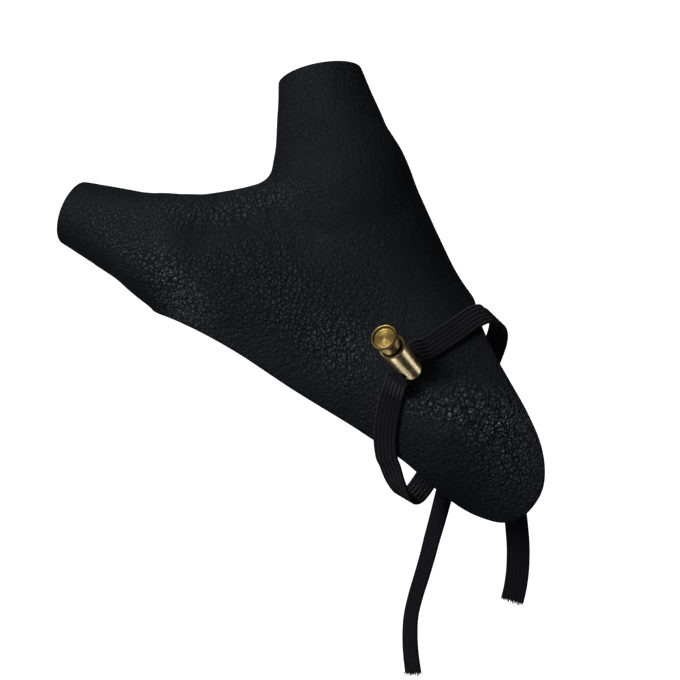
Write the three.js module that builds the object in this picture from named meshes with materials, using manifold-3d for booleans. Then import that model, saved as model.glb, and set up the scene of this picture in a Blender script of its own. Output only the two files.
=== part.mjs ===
// Archery bow-hand glove: one leather piece with a thumb sleeve and an index sleeve,
// an elastic wrist band and a sprung brass cord lock. Millimetres, +Z up.
// The origin is the middle of the wrist, where the glove is worn.

import * as THREE from 'three';
import { mergeVertices } from 'three/addons/utils/BufferGeometryUtils.js';
import Module from 'manifold-3d';

const wasm = await Module();
wasm.setup();

// Sizes of the gloved hand, to the outside of the leather
const handLength = 110.5; // middle of the wrist to the index knuckle
const handWidth = 58;
const handDepth = 31;
const wristWidth = 60;
const wristDepth = 43;
const handTilt = 29; // degrees that the forearm points below level

// Index sleeve, from the knuckle to its mouth
const indexLength = 36.6;
const indexRootWidth = 35;
const indexRootDepth = 29;
const indexMouthWidth = 22.2;
const indexMouthDepth = 21.5;
const indexTurn = -7.4; // degrees from the hand's line, towards the thumb
const indexDive = 26; // degrees away from the back of the hand

// Thumb sleeve, from the knuckle to its mouth
const thumbLength = 39.2;
const thumbRootWidth = 44.9;
const thumbRootDepth = 32;
const thumbMouthWidth = 28.3;
const thumbMouthDepth = 25;
const thumbTurn = 50.1;
const thumbDive = 20;

// Leather
const leatherWall = 1.6;
const sideWrap = 4; // how far the back panel wraps behind the widest line of the thumb side
const facetSize = 3.7;

// Elastic band and its free ends
const bandWidth = 8;
const bandThickness = 1.4;
const bunchedWidth = 3.2; // where it passes through the lock
const bunchedThickness = 3;
const knotLength = 10;
const knotWidth = 8.4;
const knotThickness = 5.2;

// Brass cord lock
const lockLean = 33; // degrees from square to the back of the hand
const lockTurn = 20; // degrees from the hand's line, towards the thumb
const barrelLength = 17.4; // from the middle of the round foot to the mouth
const barrelMouthRadius = 4.4;
const barrelFootRadius = 3.7;
const barrelWall = 0.7;
const counterboreDepth = 4.9;
const cordHoleHeight = 2.6; // above the middle of the round foot
const pressTravel = 2;
const neckLength = 5.4;
const neckInside = 2.5;
const headRadius = 4.5;
const headThickness = 1.8;
const headDish = 0.45;
const headRim = 0.75;

// Fits
const clearance = 0.3;
const restGap = 0.45; // between the band and the leather under it
const skinSink = 1; // how far the band sinks where it lies on skin

const radians = THREE.MathUtils.degToRad;
const viewDirection = new THREE.Vector3(0, 1, 0);

// A point of the hand, in shares of its length, width and depth. The fingers point to -X here,
// the thumb side is +Z and the palm is +Y.
function place(along, across, lift = 0) {
  return new THREE.Vector3(-along * handLength, lift * handDepth, across * handWidth);
}

// The line of a finger, turned towards the thumb and diving towards the palm
function fingerLine(turn, dive) {
  const level = Math.cos(radians(dive));
  return new THREE.Vector3(
    -Math.cos(radians(turn)) * level, Math.sin(radians(dive)), Math.sin(radians(turn)) * level);
}

// Joints of the hand: place in shares of the hand, half sizes in mm
const joints = {
  elbowSide: { at: place(-0.63, 0), wide: wristWidth * 0.545, deep: wristDepth * 0.535 },
  wrist: { at: place(0, 0), wide: wristWidth / 2, deep: wristDepth / 2 },
  knuckles: { at: place(0.703, 0, 0.06), wide: handWidth * 0.5, deep: handDepth * 0.5 },
  indexHeel: { at: place(0.573, 0.136, 0.03), wide: handWidth * 0.398, deep: handDepth * 0.516 },
  indexKnuckle: { at: place(0.996, 0.021), wide: indexRootWidth / 2, deep: indexRootDepth / 2 },
  outerHeel: { at: place(0.181, -0.034, 0.03), wide: handWidth * 0.455, deep: handDepth * 0.58 },
  outerKnuckle: { at: place(0.732, -0.371, 0.1), wide: handWidth * 0.256, deep: handDepth * 0.435 },
  thumbHeel: { at: place(0.203, 0.333, 0.1), wide: handWidth * 0.3, deep: handDepth * 0.548 },
  thumbKnuckle: { at: place(0.632, 0.822, 0.065), wide: thumbRootWidth / 2, deep: thumbRootDepth / 2 },
  webIndex: { at: place(0.919, 0.214, 0.03), wide: handWidth * 0.205, deep: handDepth * 0.38 },
  webThumb: { at: place(0.696, 0.514, 0.065), wide: handWidth * 0.25, deep: handDepth * 0.4 },
};

// A sleeve's bone runs on past its mouth, so that the mouth is cut through it
const mouthOvershoot = 1.3;

function fingerTip(knuckle, line, length, mouthWidth, mouthDepth) {
  const grow = (root, mouth) => root + (mouth - root) * mouthOvershoot;
  return {
    at: knuckle.at.clone().addScaledVector(line, length * mouthOvershoot),
    wide: grow(knuckle.wide, mouthWidth / 2),
    deep: grow(knuckle.deep, mouthDepth / 2),
  };
}

const indexLine = fingerLine(indexTurn, indexDive);
const thumbLine = fingerLine(thumbTurn, thumbDive);
joints.indexTip = fingerTip(joints.indexKnuckle, indexLine, indexLength, indexMouthWidth, indexMouthDepth);
joints.thumbTip = fingerTip(joints.thumbKnuckle, thumbLine, thumbLength, thumbMouthWidth, thumbMouthDepth);

// Each bone joins two joints and flows into the form before it over a blend in mm
const bones = [
  { from: 'wrist', to: 'elbowSide', blend: 8 },
  { from: 'wrist', to: 'knuckles', blend: 8 },
  { from: 'indexHeel', to: 'indexKnuckle', blend: 12 },
  { from: 'outerHeel', to: 'outerKnuckle', blend: 8 },
  { from: 'indexKnuckle', to: 'indexTip', blend: 4 },
  { from: 'thumbHeel', to: 'thumbKnuckle', blend: 14 },
  { from: 'thumbKnuckle', to: 'thumbTip', blend: 4 },
  { from: 'webIndex', to: 'webThumb', blend: 5 },
].map(({ from, to, blend }) => {
  const start = joints[from];
  const end = joints[to];
  const run = end.at.clone().sub(start.at);
  const axis = run.clone().normalize();
  const depthLine = viewDirection.clone().addScaledVector(axis, -viewDirection.dot(axis)).normalize();
  return { start, end, run, runSquared: run.lengthSq(), depthLine, blend };
});

// Distance from a tapered bone with an oval section
function boneDistance(bone, p) {
  const offset = p.clone().sub(bone.start.at);
  const share = THREE.MathUtils.clamp(offset.dot(bone.run) / bone.runSquared, 0, 1);
  offset.addScaledVector(bone.run, -share);
  const depth = offset.dot(bone.depthLine);
  const width = Math.sqrt(Math.max(offset.lengthSq() - depth * depth, 0));
  const wide = THREE.MathUtils.lerp(bone.start.wide, bone.end.wide, share);
  const deep = THREE.MathUtils.lerp(bone.start.deep, bone.end.deep, share);
  const reach = Math.hypot(width / wide, depth / deep);
  const slope = Math.hypot(width / wide ** 2, depth / deep ** 2) + 1e-9;
  return (reach * (reach - 1)) / slope;
}

// Distance from the gloved hand: zero on the outside of the leather, below zero in the hand
function handDistance(p) {
  return bones.reduce((nearest, bone) => roundMin(nearest, boneDistance(bone, p), bone.blend), 1000);
}

const gradientStep = 0.05;

function gradient(field, p) {
  const slope = (axis) => {
    const ahead = p.clone();
    const behind = p.clone();
    ahead[axis] += gradientStep;
    behind[axis] -= gradientStep;
    return (field(ahead) - field(behind)) / (2 * gradientStep);
  };
  return new THREE.Vector3(slope('x'), slope('y'), slope('z'));
}

const handNormal = (p) => gradient(handDistance, p).normalize();

// Moves a point along a field's slope until the field has the wanted value there
function settle(field, p, value, rounds = 3) {
  for (let round = 0; round < rounds; round += 1) {
    const slope = gradient(field, p);
    p.addScaledVector(slope, (value - field(p)) / Math.max(slope.lengthSq(), 1e-6));
  }
  return p;
}

// Walks from a point along a line to where the hand is a given distance away
function walkToHand(from, line, distance) {
  const p = from.clone();
  const rounds = 60;
  for (let round = 0; round < rounds; round += 1) p.addScaledVector(line, handDistance(p) - distance);
  return p;
}

// Edges of the leather, in shares of the hand's length and width, as seen from its back
const freeEdge = [
  { along: 1.08, across: -0.29 },
  { along: 0.97, across: -0.3 },
  { along: 0.86, across: -0.291 },
  { along: 0.67, across: -0.288 },
  { along: 0.453, across: -0.316 },
  { along: 0.23, across: -0.333 },
  { along: 0.07, across: -0.36 },
  { along: -0.055, across: -0.408 },
  { along: -0.155, across: -0.43 },
  { along: -0.22, across: -0.421 },
  { along: -0.273, across: -0.392 },
  { along: -0.308, across: -0.333 },
  { along: -0.324, across: -0.235 },
  { along: -0.323, across: -0.131 },
  { along: -0.298, across: -0.024 },
  { along: -0.249, across: 0.088 },
  { along: -0.172, across: 0.197 },
  { along: -0.084, across: 0.297 },
  { along: 0.023, across: 0.425 },
  { along: 0.1, across: 0.545 },
  { along: 0.15, across: 0.681 },
  { along: 0.19, across: 0.86 },
];

// On the palm side only the sleeves and the web between them are covered
const palmEdge = [
  { along: 1.0, across: -0.46 },
  { along: 0.963, across: -0.281 },
  { along: 0.915, across: -0.095 },
  { along: 0.837, across: 0.105 },
  { along: 0.69, across: 0.305 },
  { along: 0.584, across: 0.528 },
  { along: 0.494, across: 0.805 },
  { along: 0.426, across: 1.019 },
  { along: 0.34, across: 1.16 },
];

// Distance to the left of an edge line, which runs on straight past its ends
function edgeLine(rows, pieces = 6) {
  const points = rows.map((row) => place(row.along, row.across)).map((p) => new THREE.Vector2(p.x, p.z));
  const curve = new THREE.SplineCurve(points);
  const line = curve.getPoints((rows.length - 1) * pieces);
  const last = line.length - 1;
  return (p) => {
    let best = Infinity;
    let side = 1;
    for (let i = 0; i < last; i += 1) {
      const runX = line[i + 1].x - line[i].x;
      const runZ = line[i + 1].y - line[i].y;
      const offX = p.x - line[i].x;
      const offZ = p.z - line[i].y;
      const share = (offX * runX + offZ * runZ) / (runX * runX + runZ * runZ);
      const kept = THREE.MathUtils.clamp(share, i === 0 ? -Infinity : 0, i === last - 1 ? Infinity : 1);
      const distance = Math.hypot(offX - kept * runX, offZ - kept * runZ);
      if (distance < best) {
        best = distance;
        side = Math.sign(runX * offZ - runZ * offX);
      }
    }
    return best * side;
  };
}

const insideFreeEdge = edgeLine(freeEdge);
const insidePalmEdge = edgeLine(palmEdge);
const indexMouth = joints.indexKnuckle.at.clone().addScaledVector(indexLine, indexLength);
const thumbMouth = joints.thumbKnuckle.at.clone().addScaledVector(thumbLine, thumbLength);

// The smaller of two distances, with the corner between them rounded
function roundMin(a, b, round) {
  const mix = THREE.MathUtils.clamp(0.5 + (0.5 * (b - a)) / round, 0, 1);
  return THREE.MathUtils.lerp(b, a, mix) - round * mix * (1 - mix);
}

const panelCorner = 8; // where the free edge turns up the thumb side
const innerCorner = 6; // where a free edge runs into a sleeve

// Above zero where the hand is covered with leather
function coverage(p) {
  const back = roundMin(insideFreeEdge(p), sideWrap - p.y, panelCorner);
  const panels = -roundMin(-back, -insidePalmEdge(p), innerCorner);
  const indexRim = indexMouth.clone().sub(p).dot(indexLine);
  const thumbRim = thumbMouth.clone().sub(p).dot(thumbLine);
  return Math.min(panels, indexRim, thumbRim);
}

// The hand's surface as a mesh of even facets, one corner in each cell that it crosses
function handMesh(value) {
  const low = new THREE.Vector3(Infinity, Infinity, Infinity);
  const high = low.clone().negate();
  Object.values(joints).forEach(({ at, wide }) => {
    low.min(at.clone().subScalar(wide + facetSize));
    high.max(at.clone().addScalar(wide + facetSize));
  });
  const counts = high.clone().sub(low).divideScalar(facetSize).ceil();
  const [nx, ny, nz] = counts.toArray();
  const corner = (i, j, k) => new THREE.Vector3(i, j, k).multiplyScalar(facetSize).add(low);
  const index = (i, j, k) => (i * (ny + 1) + j) * (nz + 1) + k;
  const values = new Float64Array((nx + 1) * (ny + 1) * (nz + 1));
  for (let i = 0; i <= nx; i += 1) {
    for (let j = 0; j <= ny; j += 1) {
      for (let k = 0; k <= nz; k += 1) values[index(i, j, k)] = handDistance(corner(i, j, k)) - value;
    }
  }
  const cellCorner = new Map();
  const points = [];
  const steps = [[0, 0, 0], [1, 0, 0], [0, 1, 0], [1, 1, 0], [0, 0, 1], [1, 0, 1], [0, 1, 1], [1, 1, 1]];
  const edges = [[0, 1], [2, 3], [4, 5], [6, 7], [0, 2], [1, 3], [4, 6], [5, 7], [0, 4], [1, 5], [2, 6], [3, 7]];
  const pointOf = (i, j, k) => {
    const key = index(i, j, k);
    if (!cellCorner.has(key)) {
      const sum = new THREE.Vector3();
      let crossings = 0;
      edges.forEach(([a, b]) => {
        const [pa, pb] = [steps[a], steps[b]].map(([x, y, z]) => [i + x, j + y, k + z]);
        const va = values[index(...pa)];
        const vb = values[index(...pb)];
        if (va < 0 !== vb < 0) {
          sum.add(corner(...pa).lerp(corner(...pb), va / (va - vb)));
          crossings += 1;
        }
      });
      points.push(settle(handDistance, sum.divideScalar(crossings), value));
      cellCorner.set(key, points.length - 1);
    }
    return cellCorner.get(key);
  };
  const triangles = [];
  const addQuad = (quad, flip) => {
    const [a, b, c, d] = flip ? quad.reverse() : quad;
    if (points[a].distanceTo(points[c]) < points[b].distanceTo(points[d])) {
      triangles.push([a, b, c], [a, c, d]);
    } else {
      triangles.push([a, b, d], [b, c, d]);
    }
  };
  for (let i = 1; i < nx; i += 1) {
    for (let j = 1; j < ny; j += 1) {
      for (let k = 1; k < nz; k += 1) {
        const here = values[index(i, j, k)] < 0;
        if (here !== values[index(i + 1, j, k)] < 0) {
          addQuad([pointOf(i, j - 1, k - 1), pointOf(i, j, k - 1), pointOf(i, j, k), pointOf(i, j - 1, k)], !here);
        }
        if (here !== values[index(i, j + 1, k)] < 0) {
          addQuad([pointOf(i - 1, j, k - 1), pointOf(i - 1, j, k), pointOf(i, j, k), pointOf(i, j, k - 1)], !here);
        }
        if (here !== values[index(i, j, k + 1)] < 0) {
          addQuad([pointOf(i - 1, j - 1, k), pointOf(i, j - 1, k), pointOf(i, j, k), pointOf(i - 1, j, k)], !here);
        }
      }
    }
  }
  return { points, triangles };
}

// Slides a point of the surface onto the edge of the leather
function slideToEdge(p, value) {
  for (let round = 0; round < 4; round += 1) {
    const normal = handNormal(p);
    const slope = gradient(coverage, p);
    slope.addScaledVector(normal, -slope.dot(normal));
    p.addScaledVector(slope, -coverage(p) / Math.max(slope.lengthSq(), 0.2));
    settle(handDistance, p, value, 1);
  }
  return p;
}

// Keeps the covered part of the surface and cuts the facets that cross its edge
function trimToLeather({ points, triangles }, value) {
  const nearEdge = 0.34 * facetSize;
  const cover = points.map((p) => {
    const inside = coverage(p);
    if (Math.abs(inside) > nearEdge) return inside;
    slideToEdge(p, value);
    return 0;
  });
  const cuts = new Map();
  const cutPoint = (a, b) => {
    const key = a < b ? `${a}_${b}` : `${b}_${a}`;
    if (!cuts.has(key)) {
      const share = cover[a] / (cover[a] - cover[b]);
      points.push(slideToEdge(points[a].clone().lerp(points[b], share), value));
      cover.push(0);
      cuts.set(key, points.length - 1);
    }
    return cuts.get(key);
  };
  const kept = [];
  triangles.forEach((triangle) => {
    const most = Math.max(...triangle.map((v) => cover[v]));
    if (most <= 0) return;
    const ring = [];
    triangle.forEach((v, side) => {
      const next = triangle[(side + 1) % 3];
      if (cover[v] >= 0) ring.push(v);
      if (cover[v] * cover[next] < 0) ring.push(cutPoint(v, next));
    });
    for (let i = 2; i < ring.length; i += 1) kept.push([ring[0], ring[i - 1], ring[i]]);
  });
  return { points, triangles: kept };
}

// Gives an open sheet its wall: the skin side, the outside, and a rim round every edge
function thicken({ points, triangles }, wall) {
  const used = [...new Set(triangles.flat())];
  const number = new Map(used.map((v, i) => [v, i]));
  const count = used.length;
  const positions = [];
  used.forEach((v) => positions.push(...points[v].toArray()));
  used.forEach((v) => positions.push(...points[v].clone().addScaledVector(handNormal(points[v]), wall).toArray()));
  const faces = triangles.map((triangle) => triangle.map((v) => number.get(v)));
  const sides = new Set();
  faces.forEach(([a, b, c]) => [[a, b], [b, c], [c, a]].forEach(([from, to]) => sides.add(`${from}_${to}`)));
  const indices = [];
  faces.forEach(([a, b, c]) => {
    indices.push(a + count, b + count, c + count);
    indices.push(a, c, b);
  });
  sides.forEach((side) => {
    const [from, to] = side.split('_').map(Number);
    if (sides.has(`${to}_${from}`)) return;
    indices.push(from, to, to + count);
    indices.push(from, to + count, from + count);
  });
  return bufferGeometry(positions, indices);
}

function bufferGeometry(positions, indices) {
  const geometry = new THREE.BufferGeometry();
  geometry.setAttribute('position', new THREE.Float32BufferAttribute(positions, 3));
  geometry.setIndex(indices);
  geometry.computeVertexNormals();
  return geometry;
}

function leatherGeometry() {
  return thicken(trimToLeather(handMesh(-leatherWall), -leatherWall), leatherWall);
}

// Solids for cutting
function solidOf(geometry) {
  const bare = geometry.clone();
  bare.deleteAttribute('normal');
  bare.deleteAttribute('uv');
  const merged = mergeVertices(bare, 1e-4);
  return new wasm.Manifold(new wasm.Mesh({
    numProp: 3,
    vertProperties: new Float32Array(merged.attributes.position.array),
    triVerts: new Uint32Array(merged.index.array),
  }));
}

function cutFrom(geometry, tool) {
  const mesh = solidOf(geometry).subtract(solidOf(tool)).getMesh();
  return bufferGeometry(Array.from(mesh.vertProperties), Array.from(mesh.triVerts));
}

// Lock: +Y runs from its round foot to its head, and the cord hole runs along Z
const holeWidth = bunchedWidth + 2 * clearance;
const holeHeight = bunchedThickness + 2 * clearance;
const neckRadius = barrelMouthRadius - barrelWall - clearance;
const stemRadius = barrelFootRadius - barrelWall - clearance;
const boreFoot = stemRadius + clearance;
const turns = 24;

const arc = (radius, middle, from, to, pieces = 6) => Array.from({ length: pieces + 1 }, (_, i) => {
  const angle = radians(from + ((to - from) * i) / pieces);
  return new THREE.Vector2(radius * Math.cos(angle), middle + radius * Math.sin(angle));
});

function lathe(profile) {
  profile.forEach((p) => {
    if (p.x < 1e-6) p.x = 0;
  });
  return new THREE.LatheGeometry(profile, turns);
}

function cordHole(height, middle) {
  return new THREE.BoxGeometry(holeWidth, height, 4 * barrelMouthRadius).translate(0, middle, 0);
}

function barrelGeometry() {
  const rimSoft = barrelWall * 0.35;
  const counterbore = neckRadius + clearance;
  const stepHeight = barrelLength - counterboreDepth;
  const profile = [
    ...arc(barrelFootRadius, 0, -90, 0),
    new THREE.Vector2(barrelMouthRadius, barrelLength - rimSoft),
    new THREE.Vector2(barrelMouthRadius - rimSoft, barrelLength),
    new THREE.Vector2(counterbore, barrelLength),
    new THREE.Vector2(counterbore, stepHeight),
    new THREE.Vector2(boreFoot, stepHeight),
    ...arc(boreFoot, clearance, 0, -90),
  ];
  return cutFrom(lathe(profile), cordHole(holeHeight, cordHoleHeight));
}

function plungerGeometry() {
  const headUnder = barrelLength + neckLength;
  const face = headUnder + headThickness;
  const edgeSoft = 0.25;
  const neckFoot = barrelLength - neckInside;
  const profile = [
    ...arc(stemRadius, clearance + pressTravel, -90, 0),
    new THREE.Vector2(stemRadius, neckFoot),
    new THREE.Vector2(neckRadius, neckFoot),
    new THREE.Vector2(neckRadius, headUnder),
    new THREE.Vector2(headRadius - edgeSoft, headUnder),
    new THREE.Vector2(headRadius, headUnder + edgeSoft),
    new THREE.Vector2(headRadius, face - edgeSoft),
    new THREE.Vector2(headRadius - edgeSoft, face),
    new THREE.Vector2(headRadius - headRim, face),
    new THREE.Vector2(headRadius - headRim - headDish, face - headDish),
    new THREE.Vector2(0, face - headDish),
  ];
  const slotTop = cordHoleHeight + holeHeight / 2 + pressTravel;
  const slotFoot = cordHoleHeight - holeHeight / 2;
  return cutFrom(lathe(profile), cordHole(slotTop - slotFoot, (slotTop + slotFoot) / 2));
}

// The lock stands on its round foot at this share of the hand
const lockSeat = { along: 0.19, across: 0.1 };
const lockLine = fingerLine(lockTurn, lockLean - 90);
const lockFoot = walkToHand(
  place(lockSeat.along, lockSeat.across, -2), viewDirection, barrelFootRadius + clearance);
const acrossHand = new THREE.Vector3(0, 0, 1);
const holeLine = acrossHand.clone().addScaledVector(lockLine, -acrossHand.dot(lockLine)).normalize();
const lockHole = lockFoot.clone().addScaledVector(lockLine, cordHoleHeight);

// Band route round the wrist: the turn starts at the thumb side and passes the back of the hand
// at 90 degrees, and along says how far up the hand the band lies there
const bandTurns = [
  { turn: -90, along: -0.03 },
  { turn: -50, along: -0.018 },
  { turn: -14, along: 0.008 },
  { turn: 4, along: 0.044 },
  { turn: 18, along: 0.084 },
  { turn: 38, along: 0.128 },
  { turn: 56, along: 0.172 },
  { turn: 102, along: 0.197 },
  { turn: 120, along: 0.178 },
  { turn: 138, along: 0.144 },
  { turn: 152, along: 0.097 },
  { turn: 170, along: 0.034 },
  { turn: 192, along: -0.006 },
  { turn: 230, along: -0.025 },
  { turn: 270, along: -0.03 },
];

function bandPoint({ turn, along }) {
  const line = new THREE.Vector3(0, Math.sin(radians(turn)), -Math.cos(radians(turn)));
  const start = place(along, 0).addScaledVector(line, -handWidth);
  return walkToHand(start, line, restGap + bandThickness / 2);
}

// The middle of the band lies at this distance from the hand, lower past the leather's edge
function restLevel(p) {
  const onLeather = THREE.MathUtils.smoothstep(coverage(p), -0.75 * bandWidth, -0.4 * bandWidth);
  return restGap + bandThickness / 2 - skinSink * (1 - onLeather);
}

const lockReach = barrelFootRadius + 5 * clearance;
const lockSpread = 14; // how far the lock lifts the band off the leather
const routePoints = 150;

function bandRoute() {
  const surface = bandTurns.map(bandPoint);
  const beforeLock = bandTurns.findIndex(({ turn }) => turn > 90);
  const through = [-1, -0.5, 0, 0.5, 1].map(
    (share) => lockHole.clone().addScaledVector(holeLine, -share * lockReach));
  surface.splice(beforeLock, 0, ...through);
  const rough = new THREE.CatmullRomCurve3(surface, false, 'centripetal');
  const laid = rough.getSpacedPoints(routePoints).map((p) => {
    const liftedByLock = p.distanceTo(lockHole) < lockSpread && handDistance(p) > restLevel(p);
    return liftedByLock ? p : settle(handDistance, p, restLevel(p));
  });
  return new THREE.CatmullRomCurve3(laid, false, 'centripetal');
}

// Eight-sided section of a strap
function strapSection(width, thickness) {
  const w = width / 2;
  const t = thickness / 2;
  const soft = t * 0.6;
  return [
    [w, t - soft], [w - soft, t], [soft - w, t], [-w, t - soft],
    [-w, soft - t], [soft - w, -t], [w - soft, -t], [w, soft - t],
  ];
}

const route = bandRoute();
const routeLength = route.getLength();
const knotReach = (knotLength / 2 - clearance) / routeLength;
const knotMiddle = walkToHand(
  place(bandTurns[0].along, 0, 2), viewDirection.clone().negate(), knotThickness / 2 - skinSink);

function bandGeometry() {
  const step = 2;
  const count = Math.round(routeLength / step);
  const positions = [];
  const indices = [];
  for (let i = 0; i <= count; i += 1) {
    const share = THREE.MathUtils.lerp(knotReach, 1 - knotReach, i / count);
    const p = route.getPointAt(share);
    const along = route.getTangentAt(share);
    const fromLock = p.distanceTo(lockHole);
    const spread = THREE.MathUtils.smoothstep(fromLock, barrelMouthRadius, lockReach + 3 * clearance);
    const turned = THREE.MathUtils.smoothstep(fromLock, barrelMouthRadius, lockReach + 2 * clearance);
    const out = lockLine.clone().lerp(handNormal(p), turned);
    out.addScaledVector(along, -out.dot(along)).normalize();
    const side = along.clone().cross(out);
    const width = THREE.MathUtils.lerp(bunchedWidth, bandWidth, spread);
    const thickness = THREE.MathUtils.lerp(bunchedThickness, bandThickness, spread);
    strapSection(width, thickness).forEach(([w, t]) => {
      positions.push(...p.clone().addScaledVector(side, w).addScaledVector(out, t).toArray());
    });
  }
  const sides = 8;
  for (let i = 0; i < count; i += 1) {
    for (let s = 0; s < sides; s += 1) {
      const a = i * sides + s;
      const b = i * sides + ((s + 1) % sides);
      indices.push(a, b + sides, b, a, a + sides, b + sides);
    }
  }
  for (let s = 2; s < sides; s += 1) {
    indices.push(0, s - 1, s);
    indices.push(count * sides, count * sides + s, count * sides + s - 1);
  }
  return bufferGeometry(positions, indices);
}

// Knot: three soft lobes in a row along the band
function knotGeometry() {
  const lobes = 3;
  const rings = 13;
  const profile = Array.from({ length: rings }, (_, i) => {
    const share = i / (rings - 1);
    const body = Math.sin(Math.PI * share) ** 0.5;
    const lobe = 0.86 + 0.14 * Math.abs(Math.sin(Math.PI * lobes * share));
    return new THREE.Vector2((body * lobe * knotWidth) / 2, (share - 0.5) * knotLength);
  });
  profile[0].x = 0;
  profile[rings - 1].x = 0;
  return new THREE.LatheGeometry(profile, 12).scale(1, 1, knotThickness / knotWidth);
}

// Free ends, hanging plumb, as chosen by hand, in mm from the middle of the knot
const longTail = [
  [-0.6, 3, -5.4], [-1.5, 3.3, -8.4], [-2.5, 3.4, -11.8], [-3.6, 3.3, -15.9], [-4.8, 3.1, -20.4],
  [-6.1, 2.9, -25.4], [-7.3, 2.6, -29.9], [-8.5, 2.3, -34.4], [-10.2, 2.1, -40.4], [-11.9, 1.8, -46.9],
  [-13.8, 1.5, -53.4], [-15.8, 1.3, -59.9], [-17.3, 1.2, -66.4], [-17.7, 1.3, -72.9],
  [-17.4, 1.5, -79.4], [-16.6, 1.7, -85.7],
];
const shortTail = [
  [4.1, -1.7, -2.2], [6.9, -0.9, -4.4], [9.5, -0.2, -7], [12, 0.4, -10.4], [14, 0.9, -14.4],
  [15.3, 1.2, -18.9], [16.3, 1.3, -23.4], [17.1, 1.4, -28.4], [17.8, 1.4, -33.4], [18.3, 1.5, -38.4],
  [18.6, 1.3, -42.9], [18.6, 1.1, -47.4], [18.4, 0.9, -51.4], [17.9, 0.8, -55.4], [17.3, 0.7, -58.6],
  [16.6, 0.7, -61.4],
];
const longTailTurn = 58; // degrees that its face turns away from the viewer
const shortTailTurn = 10;

function tailGeometry(points, faceTurn) {
  const curve = new THREE.CatmullRomCurve3(points.map((p) => new THREE.Vector3(...p)), false, 'centripetal');
  const turn = radians(faceTurn);
  const section = strapSection(bandWidth, bandThickness).map(([w, t]) => new THREE.Vector2(
    t * Math.cos(turn) + w * Math.sin(turn), w * Math.cos(turn) - t * Math.sin(turn)));
  return new THREE.ExtrudeGeometry(new THREE.Shape(section), { steps: points.length - 1, extrudePath: curve });
}

// Materials
const leather = new THREE.MeshStandardMaterial({ color: 0x1d1e22, roughness: 0.5 });
const elastic = new THREE.MeshStandardMaterial({ color: 0x131316, roughness: 0.85 });
const brass = new THREE.MeshStandardMaterial({ color: 0x9c8350, roughness: 0.35, metalness: 1 });

function piece(name, geometry, material) {
  const mesh = new THREE.Mesh(geometry, material);
  mesh.name = name;
  return mesh;
}

// Assembly
const lock = new THREE.Group();
lock.position.copy(lockFoot);
lock.quaternion.setFromRotationMatrix(
  new THREE.Matrix4().makeBasis(lockLine.clone().cross(holeLine), lockLine, holeLine));
lock.add(piece('lock_barrel', barrelGeometry(), brass));
lock.add(piece('lock_plunger', plungerGeometry(), brass));

const knot = piece('band_knot', knotGeometry(), elastic);
knot.position.copy(knotMiddle);
knot.rotation.x = Math.PI / 2;

const hand = new THREE.Group();
hand.rotation.y = radians(handTilt);
hand.add(piece('leather_glove', leatherGeometry(), leather));
hand.add(piece('wrist_band', bandGeometry(), elastic));
hand.add(knot);
hand.add(lock);

const tails = new THREE.Group();
tails.position.copy(knotMiddle).applyAxisAngle(new THREE.Vector3(0, 1, 0), radians(handTilt));
tails.add(piece('tail_long', tailGeometry(longTail, longTailTurn), elastic));
tails.add(piece('tail_short', tailGeometry(shortTail, shortTailTurn), elastic));

const glove = new THREE.Group();
glove.add(hand);
glove.add(tails);

export default glove;
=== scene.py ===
"""Looks of an archery bow-hand glove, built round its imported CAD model.

The glove is one piece of black pebbled leather with a thumb sleeve and an index sleeve. A flat ribbed elastic
holds it on the wrist and runs through a sprung brass cord lock. Forms are worked out in millimetres, in the
hand's own frame: fingers to -X, thumb to +Z, palm to +Y. Meshes are in metres, in the CAD's frame.
"""

import logging
import math
from dataclasses import dataclass, field
from enum import Enum, IntEnum
from typing import Callable, Sequence

import bmesh
import bpy
import numpy as np
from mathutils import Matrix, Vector, noise


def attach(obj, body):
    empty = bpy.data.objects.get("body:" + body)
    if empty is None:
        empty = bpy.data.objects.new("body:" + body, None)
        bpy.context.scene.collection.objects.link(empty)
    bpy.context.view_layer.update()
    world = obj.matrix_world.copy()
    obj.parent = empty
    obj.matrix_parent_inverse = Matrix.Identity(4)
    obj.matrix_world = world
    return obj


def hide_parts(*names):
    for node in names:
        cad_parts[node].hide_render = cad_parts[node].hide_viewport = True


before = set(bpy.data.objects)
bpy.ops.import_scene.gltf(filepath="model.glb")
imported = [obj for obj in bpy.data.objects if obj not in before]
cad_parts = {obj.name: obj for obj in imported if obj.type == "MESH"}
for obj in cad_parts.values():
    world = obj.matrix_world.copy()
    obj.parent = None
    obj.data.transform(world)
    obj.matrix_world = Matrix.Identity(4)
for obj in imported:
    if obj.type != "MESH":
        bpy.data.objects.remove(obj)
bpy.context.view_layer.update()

LOG = logging.getLogger("glove")
MM = 0.001
PALMWARDS = np.array([0.0, 1.0, 0.0])
Array = np.ndarray
Field = Callable[[Array], Array]
Colour = tuple[float, float, float]


# Numbers and curves


def unit(vectors: Array) -> Array:
    """Scale vectors to length one.

    Args:
        vectors: One vector or rows of vectors.

    Returns:
        The vectors at unit length.
    """
    size = np.linalg.norm(vectors, axis=-1, keepdims=True)
    return vectors / np.maximum(size, 1e-12)


def smooth_step(value: Array, low: float, high: float) -> Array:
    """Rise smoothly from 0 at low to 1 at high.

    Args:
        value: Numbers to map.
        low: Value that maps to 0.
        high: Value that maps to 1.

    Returns:
        The mapped numbers.
    """
    share = np.clip((value - low) / (high - low), 0.0, 1.0)
    return share * share * (3.0 - 2.0 * share)


def round_min(a: Array, b: Array, blend: float) -> Array:
    """Take the smaller of two distances, with the corner between them rounded.

    Args:
        a: First distances.
        b: Second distances.
        blend: Width of the rounding.

    Returns:
        The joined distances.
    """
    mix = np.clip(0.5 + 0.5 * (b - a) / blend, 0.0, 1.0)
    return b + (a - b) * mix - blend * mix * (1.0 - mix)


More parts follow.
